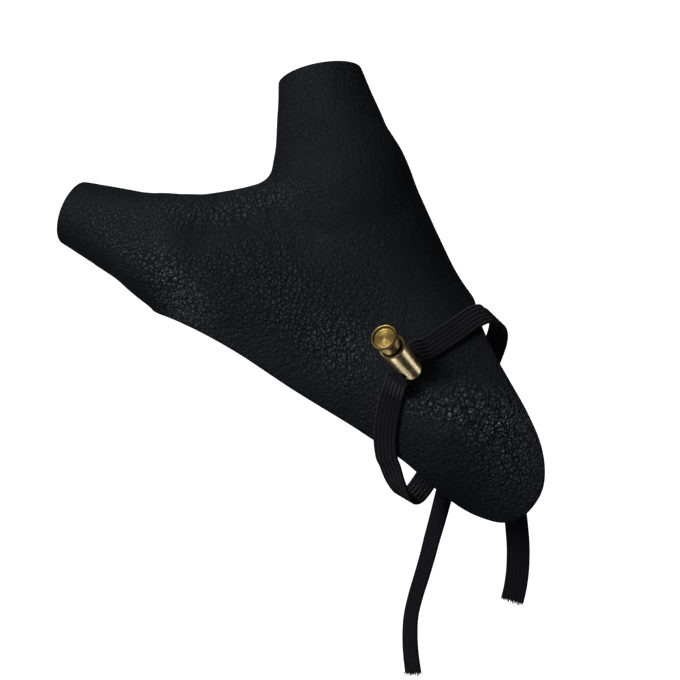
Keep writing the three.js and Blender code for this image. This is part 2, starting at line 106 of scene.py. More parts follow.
def gradient(of: Field, points: Array, step: float = 0.05) -> Array:
    """Slope of a field at rows of points.

    Args:
        of: The field.
        points: Rows of points.
        step: Half the span that the slope is taken over.

    Returns:
        One slope for each point.
    """
    slopes = np.empty_like(points)
    for axis in range(points.shape[1]):
        shift = np.zeros(points.shape[1])
        shift[axis] = step
        slopes[:, axis] = (of(points + shift) - of(points - shift)) / (2.0 * step)
    return slopes


def settle(of: Field, points: Array, value: Array | float, rounds: int = 3) -> Array:
    """Move points along a field's slope to where the field has the wanted value.

    Args:
        of: The field.
        points: Rows of points.
        value: The wanted value, one number or one for each point.
        rounds: How often each point is moved.

    Returns:
        The moved points.
    """
    for _ in range(rounds):
        slope = gradient(of, points)
        size = np.maximum((slope**2).sum(1), 1e-6)
        points = points + slope * ((value - of(points)) / size)[:, None]
    return points


def through(points: Array, pieces: int = 24) -> Array:
    """Centripetal Catmull-Rom curve through points, as a close row of points.

    Args:
        points: Rows of points that the curve passes.
        pieces: Steps between one point and the next.

    Returns:
        The row along the curve.
    """
    ends = np.vstack([2 * points[0] - points[1], points, 2 * points[-1] - points[-2]])
    share = np.linspace(0.0, 1.0, pieces, endpoint=False)[:, None]
    rows = []
    for i in range(len(points) - 1):
        p0, p1, p2, p3 = ends[i : i + 4]
        t1, t2, t3 = np.cumsum([np.linalg.norm(b - a) ** 0.5 for a, b in ((p0, p1), (p1, p2), (p2, p3))])
        t = t1 + (t2 - t1) * share
        a1 = (t1 - t) / t1 * p0 + t / t1 * p1
        a2 = (t2 - t) / (t2 - t1) * p1 + (t - t1) / (t2 - t1) * p2
        a3 = (t3 - t) / (t3 - t2) * p2 + (t - t2) / (t3 - t2) * p3
        b1 = (t2 - t) / t2 * a1 + t / t2 * a2
        b2 = (t3 - t) / (t3 - t1) * a2 + (t - t1) / (t3 - t1) * a3
        rows.append((t2 - t) / (t2 - t1) * b1 + (t - t1) / (t2 - t1) * b2)
    return np.vstack(rows + [points[-1:]])


def reach_along(line: Array) -> Array:
    """Distance along a row of points to each of them.

    Args:
        line: The row.

    Returns:
        One distance for each point, from 0 up.
    """
    return np.concatenate([[0.0], np.cumsum(np.linalg.norm(np.diff(line, axis=0), axis=1))])


def evenly(line: Array, count: int, start: float = 0.0, end: float = 1.0) -> Array:
    """Points at equal steps along a close row of points.

    Args:
        line: The row.
        count: How many points.
        start: Share of the row's length where the first point is.
        end: Share of the row's length where the last point is.

    Returns:
        The evenly spaced points.
    """
    reach = reach_along(line)
    wanted = np.linspace(start, end, count) * reach[-1]
    return np.stack([np.interp(wanted, reach, line[:, axis]) for axis in range(line.shape[1])], axis=1)


def length_of(line: Array) -> float:
    """Length of a row of points.

    Args:
        line: The row.

    Returns:
        Its length.
    """
    return float(np.linalg.norm(np.diff(line, axis=0), axis=1).sum())


def tangents(line: Array) -> Array:
    """Direction of a row of points at each of them.

    Args:
        line: The row.

    Returns:
        One unit direction for each point.
    """
    return unit(np.gradient(line, axis=0))


def waves(points: Array, size: float, seed: float, octaves: int = 2) -> Array:
    """Smooth noise, about -1 to 1, at rows of points.

    Args:
        points: Rows of points in millimetres.
        size: Length of one wave in millimetres.
        seed: Shift that picks another pattern.
        octaves: How many finer layers are added.

    Returns:
        One number for each point.
    """
    rows = (points / size + seed).tolist()
    return np.array([noise.fractal(Vector(row), 1.0, 2.0, octaves) for row in rows])


# The hand that the glove is formed on


@dataclass(frozen=True)
class Joint:
    """A joint of the gloved hand: its place and half sizes in millimetres."""

    at: Array
    wide: float
    deep: float


@dataclass(frozen=True)
class Sleeve:
    """Sizes of a finger's sleeve, from the knuckle to its mouth."""

    length: float
    root_width: float
    root_depth: float
    mouth_width: float
    mouth_depth: float
    turn: float
    dive: float
    overshoot: float = 1.3

    def line(self) -> Array:
        """Direction of the sleeve, turned towards the thumb and diving towards the palm.

        Returns:
            The unit direction.
        """
        turn, dive = math.radians(self.turn), math.radians(self.dive)
        return np.array([-math.cos(turn) * math.cos(dive), math.sin(dive), math.sin(turn) * math.cos(dive)])

    def tip(self, knuckle: Joint) -> Joint:
        """Joint past the sleeve's mouth, where its bone ends.

        Args:
            knuckle: The joint that the sleeve starts from.

        Returns:
            The tip's joint.
        """
        wide = knuckle.wide + (self.mouth_width / 2 - knuckle.wide) * self.overshoot
        deep = knuckle.deep + (self.mouth_depth / 2 - knuckle.deep) * self.overshoot
        return Joint(knuckle.at + self.line() * self.length * self.overshoot, wide, deep)


@dataclass
class HandForm:
    """The gloved hand as a smooth distance field: zero on the outside of the leather."""

    length: float = 110.5
    width: float = 58.0
    depth: float = 31.0
    wrist_width: float = 60.0
    wrist_depth: float = 43.0
    tilt: float = 29.0
    index: Sleeve = Sleeve(36.6, 35.0, 29.0, 22.2, 21.5, -7.4, 26.0)
    thumb: Sleeve = Sleeve(39.2, 44.9, 32.0, 28.3, 25.0, 50.1, 20.0)
    joints: dict[str, Joint] = field(default_factory=dict)
    bones: list[tuple[Joint, Joint, float]] = field(default_factory=list)

    def __post_init__(self) -> None:
        """Place the joints and join them with bones."""
        width, depth = self.width, self.depth
        self.joints = {
            "elbow_side": Joint(self.place(-0.63, 0), self.wrist_width * 0.545, self.wrist_depth * 0.535),
            "wrist": Joint(self.place(0, 0), self.wrist_width / 2, self.wrist_depth / 2),
            "knuckles": Joint(self.place(0.703, 0, 0.06), width * 0.5, depth * 0.5),
            "index_heel": Joint(self.place(0.573, 0.136, 0.03), width * 0.398, depth * 0.516),
            "index_knuckle": Joint(
                self.place(0.996, 0.021), self.index.root_width / 2, self.index.root_depth / 2
            ),
            "outer_heel": Joint(self.place(0.181, -0.034, 0.03), width * 0.455, depth * 0.58),
            "outer_knuckle": Joint(self.place(0.732, -0.371, 0.1), width * 0.256, depth * 0.435),
            "thumb_heel": Joint(self.place(0.203, 0.333, 0.1), width * 0.3, depth * 0.548),
            "thumb_knuckle": Joint(
                self.place(0.632, 0.822, 0.065), self.thumb.root_width / 2, self.thumb.root_depth / 2
            ),
            "web_index": Joint(self.place(0.919, 0.214, 0.03), width * 0.205, depth * 0.38),
            "web_thumb": Joint(self.place(0.696, 0.514, 0.065), width * 0.25, depth * 0.4),
        }
        self.joints["index_tip"] = self.index.tip(self.joints["index_knuckle"])
        self.joints["thumb_tip"] = self.thumb.tip(self.joints["thumb_knuckle"])
        table = (
            ("wrist", "elbow_side", 8.0),
            ("wrist", "knuckles", 8.0),
            ("index_heel", "index_knuckle", 12.0),
            ("outer_heel", "outer_knuckle", 8.0),
            ("index_knuckle", "index_tip", 4.0),
            ("thumb_heel", "thumb_knuckle", 14.0),
            ("thumb_knuckle", "thumb_tip", 4.0),
            ("web_index", "web_thumb", 5.0),
        )
        self.bones = [(self.joints[start], self.joints[end], blend) for start, end, blend in table]

    def place(self, along: float, across: float, lift: float = 0.0) -> Array:
        """Point of the hand, in shares of its length, width and depth.

        Args:
            along: Share of the length, from the wrist towards the fingers.
            across: Share of the width, towards the thumb.
            lift: Share of the depth, towards the palm.

        Returns:
            The point in millimetres.
        """
        return np.array([-along * self.length, lift * self.depth, across * self.width])

    @staticmethod
    def bone_distance(points: Array, start: Joint, end: Joint) -> Array:
        """Distance from a tapered bone with an oval section.

        Args:
            points: Rows of points.
            start: Joint at one end.
            end: Joint at the other end.

        Returns:
            One distance for each point.
        """
        run = end.at - start.at
        axis = unit(run)
        depth_line = unit(PALMWARDS - (PALMWARDS @ axis) * axis)
        offset = points - start.at
        share = np.clip(offset @ run / (run @ run), 0.0, 1.0)
        offset = offset - share[:, None] * run
        depth = offset @ depth_line
        width = np.sqrt(np.maximum((offset**2).sum(1) - depth**2, 0.0))
        wide = start.wide + (end.wide - start.wide) * share
        deep = start.deep + (end.deep - start.deep) * share
        reach = np.hypot(width / wide, depth / deep)
        slope = np.hypot(width / wide**2, depth / deep**2) + 1e-9
        return reach * (reach - 1.0) / slope

    def distance(self, points: Array) -> Array:
        """Distance from the gloved hand, below zero inside it.

        Args:
            points: Rows of points.

        Returns:
            One distance for each point.
        """
        nearest = np.full(len(points), 1000.0)
        for start, end, blend in self.bones:
            nearest = round_min(nearest, self.bone_distance(points, start, end), blend)
        return nearest

    def normals(self, points: Array) -> Array:
        """Directions straight out of the hand.

        Args:
            points: Rows of points.

        Returns:
            One unit direction for each point.
        """
        return unit(gradient(self.distance, points))

    def walk(self, start: Array, line: Array, distance: float) -> Array:
        """Walk along a line to where the hand is a given distance away.

        Args:
            start: Where the walk starts.
            line: Unit direction of the walk.
            distance: The wanted distance.

        Returns:
            The point reached.
        """
        point = np.array(start, float)
        for _ in range(60):
            point = point + line * (self.distance(point[None])[0] - distance)
        return point

    def to_cad(self, points: Array) -> Array:
        """Turn points from the hand's frame into the CAD's frame, still in millimetres.

        Args:
            points: Rows of points.

        Returns:
            The turned points.
        """
        cosine, sine = math.cos(math.radians(self.tilt)), math.sin(math.radians(self.tilt))
        x, y, z = np.asarray(points, float).T
        return np.stack([x * cosine + z * sine, y, z * cosine - x * sine], axis=1)


# Meshes


@dataclass
class Shape:
    """A mesh while it is being made, in millimetres."""

    points: Array
    faces: list[tuple[int, ...]]
    finish: list[int] = field(default_factory=list)
    layers: dict[str, Array] = field(default_factory=dict)

    def joined(self, other: "Shape") -> "Shape":
        """This shape and another as one.

        Args:
            other: The shape to add.

        Returns:
            The joined shape.
        """
        shift = len(self.points)
        faces = self.faces + [tuple(v + shift for v in face) for face in other.faces]
        finish = (self.finish or [0] * len(self.faces)) + (other.finish or [0] * len(other.faces))
        layers = {name: np.vstack([self.layers[name], other.layers[name]]) for name in self.layers}
        return Shape(np.vstack([self.points, other.points]), faces, finish, layers)

    def piece(
        self, name: str, materials: Sequence[bpy.types.Material], sharp: float = 180.0
    ) -> bpy.types.Object:
        """Make the Blender object.

        Args:
            name: Name of the piece.
            materials: Its materials, in the order that the faces count them.
            sharp: Angle in degrees above which an edge is shaded sharp.

        Returns:
            The linked object.
        """
        mesh = bpy.data.meshes.new(name)
        mesh.from_pydata((self.points * MM).tolist(), [], self.faces)
        for material in materials:
            mesh.materials.append(material)
        if self.finish:
            mesh.polygons.foreach_set("material_index", self.finish)
        for layer, rows in self.layers.items():
            mesh.attributes.new(layer, "FLOAT_VECTOR", "POINT").data.foreach_set("vector", rows.ravel())
        mesh.validate()
        mesh.update()
        mesh.shade_smooth()
        if sharp < 180.0:
            mesh.set_sharp_from_angle(angle=math.radians(sharp))
        piece = bpy.data.objects.new(name, mesh)
        bpy.context.scene.collection.objects.link(piece)
        return piece


def rings(sections: Array, closed: bool = False, capped: bool = True) -> list[tuple[int, ...]]:
    """Faces of a skin over sections of equal point counts.

    Args:
        sections: Array of section, point and coordinate.
        closed: Whether the last section joins the first.
        capped: Whether the ends of an open row get a face each.

    Returns:
        The faces.
    """
    count, around = sections.shape[:2]
    faces: list[tuple[int, ...]] = []
    for i in range(count if closed else count - 1):
        here, there = i * around, ((i + 1) % count) * around
        for s in range(around):
            after = (s + 1) % around
            faces.append((here + s, here + after, there + after, there + s))
    if capped and not closed:
        faces.append(tuple(reversed(range(around))))
        faces.append(tuple(range((count - 1) * around, count * around)))
    return faces


# Shader maths


class Value:
    """A socket whose operators add Math nodes."""

    def __init__(self, painter: "Painter", socket: bpy.types.NodeSocket) -> None:
        """Wrap a socket.

        Args:
            painter: The painter whose node tree has the socket.
            socket: The socket.
        """
        self.painter = painter
        self.socket = socket

    def math(self, operation: str, *values: "Value | float") -> "Value":
        """Add a Math node.

        Args:
            operation: The node's operation.
            values: Its inputs, in order.

        Returns:
            The node's result.
        """
        node = self.painter.node("ShaderNodeMath", {"operation": operation}, dict(enumerate(values)))
        return Value(self.painter, node.outputs[0])

    def __add__(self, other: "Value | float") -> "Value":
        """Sum of this value and another.

        Args:
            other: Number or socket to add.

        Returns:
            The sum.
        """
        return self.math("ADD", self, other)

    __radd__ = __add__

    def __sub__(self, other: "Value | float") -> "Value":
        """Difference of this value and another.

        Args:
            other: Number or socket to take away.

        Returns:
            The difference.
        """
        return self.math("SUBTRACT", self, other)

    def __rsub__(self, other: float) -> "Value":
        """Difference of a number and this value.

        Args:
            other: Number that this value is taken away from.

        Returns:
            The difference.
        """
        return self.math("SUBTRACT", other, self)

    def __mul__(self, other: "Value | float") -> "Value":
        """Product of this value and another.

        Args:
            other: Number or socket to multiply by.

        Returns:
            The product.
        """
        return self.math("MULTIPLY", self, other)

    __rmul__ = __mul__

    def sine(self) -> "Value":
        """Take the sine.

        Returns:
            The sine of the value in radians.
        """
        return self.math("SINE", self)

    def size(self) -> "Value":
        """Drop the sign.

        Returns:
            The value without its sign.
        """
        return self.math("ABSOLUTE", self)

    def smooth(self, low: float, high: float, start: float = 0.0, end: float = 1.0) -> "Value":
        """Map smoothly from low..high to start..end.

        Args:
            low: Value that maps to start.
            high: Value that maps to end.
            start: Lowest result.
            end: Highest result.

        Returns:
            The mapped value.
        """
        node = self.painter.node(
            "ShaderNodeMapRange",
            {"interpolation_type": "SMOOTHSTEP"},
            {"Value": self, "From Min": low, "From Max": high, "To Min": start, "To Max": end},
        )
        return Value(self.painter, node.outputs["Result"])


class Painter:
    """Builds one material's node tree."""

    def __init__(self, name: str) -> None:
        """Start an empty material.

        Args:
            name: Name of the material.
        """
        self.material = bpy.data.materials.new(name)
        self.material.use_nodes = True
        self.tree = self.material.node_tree
        self.tree.nodes.clear()

    def node(self, kind: str, settings: dict, inputs: dict) -> bpy.types.Node:
        """Add a node.

        Args:
            kind: The node's type.
            settings: Its properties.
            inputs: Values or links of its sockets, by name or number.

        Returns:
            The node.
        """
        node = self.tree.nodes.new(kind)
        for name, value in settings.items():
            setattr(node, name, value)
        for name, value in inputs.items():
            socket = node.inputs[name]
            if isinstance(value, Value):
                value = value.socket
            if isinstance(value, bpy.types.NodeSocket):
                self.tree.links.new(value, socket)
            elif isinstance(value, tuple) and len(value) == 3 and socket.type == "RGBA":
                socket.default_value = (*value, 1.0)
            else:
                socket.default_value = value
        return node

    def place(self) -> bpy.types.NodeSocket:
        """Point on the piece.

        Returns:
            The point in metres.
        """
        return self.node("ShaderNodeTexCoord", {}, {}).outputs["Object"]

    def vector(self, operation: str, a: object, b: object) -> bpy.types.NodeSocket:
        """Add a Vector Math node.

        Args:
            operation: The node's operation.
            a: First vector, as a tuple or a link.
            b: Second vector.

        Returns:
            The vector result.
        """
        return self.node("ShaderNodeVectorMath", {"operation": operation}, {0: a, 1: b}).outputs["Vector"]

    def layer(self, name: str) -> tuple[Value, Value, Value, bpy.types.NodeSocket]:
        """Read one of the mesh's layers.

        Args:
            name: Name of the layer.

        Returns:
            Its three numbers, and all three as one vector.
        """
        vector = self.node("ShaderNodeAttribute", {"attribute_name": name}, {}).outputs["Vector"]
        parts = self.node("ShaderNodeSeparateXYZ", {}, {0: vector}).outputs
        return Value(self, parts["X"]), Value(self, parts["Y"]), Value(self, parts["Z"]), vector

    def cloud(self, point: object, scale: float, detail: float = 3.0, rough: float = 0.55) -> Value:
        """Noise from 0 to 1.

        Args:
            point: Vector socket.
            scale: Waves for each unit of the point.
            detail: Octaves.
            rough: Weight of the finer octaves.

        Returns:
            The noise.
        """
        inputs = {"Vector": point, "Scale": scale, "Detail": detail, "Roughness": rough}
        return Value(self, self.node("ShaderNodeTexNoise", {}, inputs).outputs["Fac"])

    def cells(self, point: object, scale: float, feature: str) -> Value:
        """Distances in Voronoi cells.

        Args:
            point: Vector socket.
            scale: Cells for each unit of the point.
            feature: What the distance is measured to.

        Returns:
            The distance.
        """
        node = self.node("ShaderNodeTexVoronoi", {"feature": feature}, {"Vector": point, "Scale": scale})
        return Value(self, node.outputs["Distance"])

    def warp(self, point: object, scale: float, amount: float) -> bpy.types.NodeSocket:
        """Shift a point by smooth noise.

        Args:
            point: Vector socket.
            scale: Waves for each unit of the point.
            amount: Furthest shift.

        Returns:
            The shifted point.
        """
        node = self.node("ShaderNodeTexNoise", {}, {"Vector": point, "Scale": scale, "Detail": 1.0})
        shift = self.vector("SUBTRACT", node.outputs["Color"], (0.5, 0.5, 0.5))
        return self.vector("ADD", point, self.vector("MULTIPLY", shift, (amount * 2,) * 3))

    def mix(self, share: "Value | float", a: object, b: object) -> bpy.types.NodeSocket:
        """Mix two colours.

        Args:
            share: Share of the second colour.
            a: First colour, as a tuple or a link.
            b: Second colour.

        Returns:
            The mixed colour.
        """
        node = self.node("ShaderNodeMix", {"data_type": "RGBA"}, {0: share, 6: a, 7: b})
        return node.outputs[2]

    def bump(self, height: Value, depth: float, strength: float = 1.0) -> bpy.types.NodeSocket:
        """Bump from a height.

        Args:
            height: Height from 0 to 1.
            depth: Depth in metres of a height of 1.
            strength: The node's strength.

        Returns:
            The normal.
        """
        inputs = {"Height": height, "Distance": depth, "Strength": strength}
        return self.node("ShaderNodeBump", {}, inputs).outputs["Normal"]

    def finish(self, inputs: dict) -> bpy.types.Material:
        """Close the tree with a Principled shader.

        Args:
            inputs: Values or links of the shader's sockets.

        Returns:
            The material.
        """
        shader = self.node("ShaderNodeBsdfPrincipled", {}, inputs)
        self.node("ShaderNodeOutputMaterial", {}, {"Surface": shader.outputs[0]})
        return self.material


# Finishes


@dataclass(frozen=True)
class PebbledLeather:
    """Black leather with a pebbled grain, creased where it bends. Where the layer's shine is high, its colour
    is lightened on the pebble tops as a painted highlight.
    """

    dark: Colour = (0.0013, 0.0015, 0.0023)
    # Colour of the painted highlights on the pebble tops.
    light: Colour = (0.075, 0.078, 0.094)
    pebble: float = 1.4 * MM
    crack: float = 3.3 * MM
    depth: float = 0.6 * MM
    pebble_bend: float = 0.9 * MM
    crack_bend: float = 1.6 * MM
    crack_cut: float = 0.9
    # Strength of the painted highlight that the shine puts into the colour.
    painted_highlight: float = 0.78
    base_roughness: float = 0.76

    def material(self) -> bpy.types.Material:
        """Make the material.

        Returns:
            The material.
        """
        paint = Painter("pebbled_leather")
        point = paint.place()
        # The layer holds grain, shine and cracks; the shine lowers the roughness and also sets the painted
        # light in the colour.
        grain, gloss_and_painted_light, cracks, _ = paint.layer("wear_and_painted_light")
        bent = paint.warp(point, 520.0, self.pebble_bend)
        edge = paint.cells(bent, 1 / self.pebble, "DISTANCE_TO_EDGE")
        middle = paint.cells(bent, 1 / self.pebble, "F1")
        dome = (1 - middle.smooth(0.0, 0.9)) * 0.55 + edge.smooth(0.0, 0.22) * 0.45
        pebbles = dome * (paint.cloud(point, 620.0, 2.0) * 1.2 + 0.4)
        crazed = paint.warp(point, 240.0, self.crack_bend)
        crack_edge = paint.cells(crazed, 1 / self.crack, "DISTANCE_TO_EDGE")
        crack = (1 - crack_edge.smooth(0.0, 0.13)) * cracks
        fine = paint.cloud(point, 2200.0, 2.0)
        height = pebbles * grain - crack * self.crack_cut + fine * 0.12
        normal = paint.bump(height, self.depth)
        worn = pebbles * (1 - crack * self.crack_cut)
        highlit_pebble_tops = worn * (worn * 0.6 + 0.4) * (fine * 1.1 + 0.45)
        # Colour: the dark leather, lightened on the pebble tops by the shine as a painted highlight, so spots
        # of low shine stay dark as painted shade. The small share from worn alone is the pebble tops' own
        # lighter tone.
        shade = paint.mix(highlit_pebble_tops * gloss_and_painted_light * self.painted_highlight + worn * 0.012, self.dark, self.light)
        roughness = self.base_roughness - worn * (gloss_and_painted_light * 0.4 + 0.05) + (fine - 0.5) * 0.1
        return paint.finish(
            {
                "Base Color": shade,
                "Roughness": roughness,
                "Normal": normal,
                "Specular IOR Level": 0.36,
                "Specular Tint": (0.78, 0.86, 1.0, 1.0),
            }
        )


@dataclass(frozen=True)
class FleshSide:
    """The soft napped inside of the leather."""

    dark: Colour = (0.012, 0.0115, 0.012)
    light: Colour = (0.032, 0.031, 0.032)

    def material(self) -> bpy.types.Material:
        """Make the material.

        Returns:
            The material.
        """
        paint = Painter("leather_inside")
        point = paint.place()
        nap = paint.cloud(point, 1900.0, 4.0, 0.65)
        patch = paint.cloud(point, 60.0, 3.0)
        shade = paint.mix(nap * 0.6 + patch * 0.4, self.dark, self.light)
        normal = paint.bump(nap, 0.18 * MM)
        return paint.finish(
            {"Base Color": shade, "Roughness": 0.92, "Normal": normal, "Specular IOR Level": 0.25}
        )


@dataclass(frozen=True)
class CutEdge:
    """The cut and dyed edge of the leather."""

    dark: Colour = (0.005, 0.0048, 0.005)
    light: Colour = (0.018, 0.0165, 0.017)

    def material(self) -> bpy.types.Material:
        """Make the material.

        Returns:
            The material.
        """
        paint = Painter("leather_edge")
        point = paint.place()
        fibre = paint.cloud(point, 1500.0, 3.0)
        shade = paint.mix(fibre.smooth(0.35, 0.75), self.dark, self.light)
        return paint.finish({"Base Color": shade, "Roughness": 0.7, "Normal": paint.bump(fibre, 0.12 * MM)})


@dataclass(frozen=True)
class RibbedElastic:
    """Flat black elastic: covered rubber cords under a fine cross weave."""

    dark: Colour = (0.0018, 0.0016, 0.0029)
    light: Colour = (0.0064, 0.0059, 0.0092)
    ribs: int = 6
    width: float = 8.0
    picks: float = 2.4

    def material(self) -> bpy.types.Material:
        """Make the material.

        Returns:
            The material.
        """
        paint = Painter("ribbed_elastic")
        across, along, _, both = paint.layer("weave")
        rib = (across * (math.pi * self.ribs / self.width)).sine().size()
        slant = across * 0.9
        pick = ((along * self.picks + slant) * math.pi).sine().size()
        fuzz = paint.cloud(both, 5.0, 4.0)
        thread = pick * 0.55 + fuzz * 0.45
        # The colour darkens towards the grooves between the ribs as painted shade; the picks and fuzz of the
        # weave are the elastic's own pattern.
        shade = paint.mix(rib.smooth(0.1, 0.95, 0.1, 0.75) * thread, self.dark, self.light)
        normal = paint.bump(thread, 0.16 * MM)
        return paint.finish(
            {
                "Base Color": shade,
                "Roughness": 0.75 + fuzz * 0.15,
                "Normal": normal,
                "Specular IOR Level": 0.25,
                "Specular Tint": (0.84, 0.8, 1.0, 1.0),
                "Sheen Weight": 0.09,
                "Sheen Roughness": 0.5,
            }
        )


@dataclass(frozen=True)
class WornBrass:
    """Turned brass with a little tarnish and small dents."""

    name: str = "worn_brass"
    bright: Colour = (0.76, 0.63, 0.34)
    dull: Colour = (0.4, 0.3, 0.12)
    tarnish: float = 0.4
    gloss: float = 0.27

    def material(self) -> bpy.types.Material:
        """Make the material.

        Returns:
            The material.
        """
        paint = Painter(self.name)
        point = paint.place()
        patch = paint.cloud(point, 330.0, 3.0, 0.5)
        speck = paint.cloud(point, 2400.0, 3.0)
        tarnish = patch.smooth(0.4, 0.68) * self.tarnish + speck.smooth(0.58, 0.8) * 0.2
        shade = paint.mix(tarnish, self.bright, self.dull)
        roughness = self.gloss + tarnish * 0.22 + (speck - 0.5) * 0.08
        normal = paint.bump(patch + speck * 0.12, 0.12 * MM, 0.5)
        return paint.finish({"Base Color": shade, "Metallic": 1.0, "Roughness": roughness, "Normal": normal})


@dataclass(frozen=True)
class PaleBackdrop:
    """Bright studio paper."""

    colour: Colour = (0.9, 0.9, 0.9)
    glow: float = 1.15

    def material(self) -> bpy.types.Material:
        """Make the material.

        Returns:
            The material.
        """
        paint = Painter("pale_backdrop")
        return paint.finish(
            {
                "Base Color": self.colour,
                "Roughness": 0.9,
                "Emission Color": (1.0, 1.0, 1.0),
                "Emission Strength": self.glow,
            }
        )


class Finish(Enum):
    """Finishes by what they cover."""

    LEATHER = PebbledLeather()
    INSIDE = FleshSide()
    EDGE = CutEdge()
    ELASTIC = RibbedElastic()
    BARREL = WornBrass()
    HEAD = WornBrass("turned_brass", (0.22, 0.155, 0.045), (0.13, 0.09, 0.026), 0.4, 0.34)
    PAPER = PaleBackdrop()


class Wardrobe:
    """Makes each finish's material once."""

    def __init__(self) -> None:
        """Start with no material made."""
        self.made: dict[Finish, bpy.types.Material] = {}

    def get(self, finish: Finish) -> bpy.types.Material:
        """Material of a finish.

        Args:
            finish: The finish.

        Returns:
            Its material.
        """
        if finish not in self.made:
            self.made[finish] = finish.value.material()
        return self.made[finish]


# Sub-assemblies


def edge_line(form: HandForm, rows: Sequence[tuple[float, float]], pieces: int = 8) -> Field:
    """Distance to the left of an edge line seen from the back of the hand.

    Args:
        form: The hand.
        rows: Places along and across the hand, in shares.
        pieces: Steps between one place and the next.

    Returns:
        The distance as a field.
    """
    line = through(np.array([form.place(*row)[[0, 2]] for row in rows]), pieces)
    start, run = line[:-1], np.diff(line, axis=0)
    size = (run**2).sum(1)
    low = np.zeros(len(run))
    high = np.ones(len(run))
    low[0], high[-1] = -np.inf, np.inf

    def distance(points: Array) -> Array:
        """Measure how far the points are to the left of the line.

        Args:
            points: The points.

        Returns:
            The distances, below zero on the right.
        """
        best = np.full(len(points), np.inf)
        side = np.ones(len(points))
        for i in range(len(run)):
            off = points[:, [0, 2]] - start[i]
            share = np.clip(off @ run[i] / size[i], low[i], high[i])
            away = np.linalg.norm(off - share[:, None] * run[i], axis=1)
            nearer = away < best
            best = np.where(nearer, away, best)
            side = np.where(nearer, np.sign(run[i][0] * off[:, 1] - run[i][1] * off[:, 0]), side)
        return best * side

    return distance


class Side(IntEnum):
    """Which side of the leather a face is on."""

    GRAIN = 0
    FLESH = 1
    CUT = 2


@dataclass(frozen=True)
class WearAndLightSpot:
    """A spot of the leather seen from the back of the hand, in millimetres in the CAD's frame. Its shine
    lowers the roughness and lightens the colour as a painted highlight; spots with shine below zero leave
    painted shade.
    """

    x: float
    z: float
    long: float
    short: float
    slope: float
    grain: float
    gloss_and_painted_light: float
    crack: float = 0.0

    def share(self, points: Array) -> Array:
        """How much of the spot reaches rows of points.

        Args:
            points: Rows of points in the CAD's frame.

        Returns:
            One share for each point.
        """
        turn = math.radians(self.slope)
        right, up = points[:, 0] - self.x, points[:, 2] - self.z
        along = right * math.cos(turn) + up * math.sin(turn)
        across = up * math.cos(turn) - right * math.sin(turn)
        front = smooth_step(-points[:, 1], -6.0, 2.0)
        return np.exp(-((along / self.long) ** 2) - (across / self.short) ** 2) * front


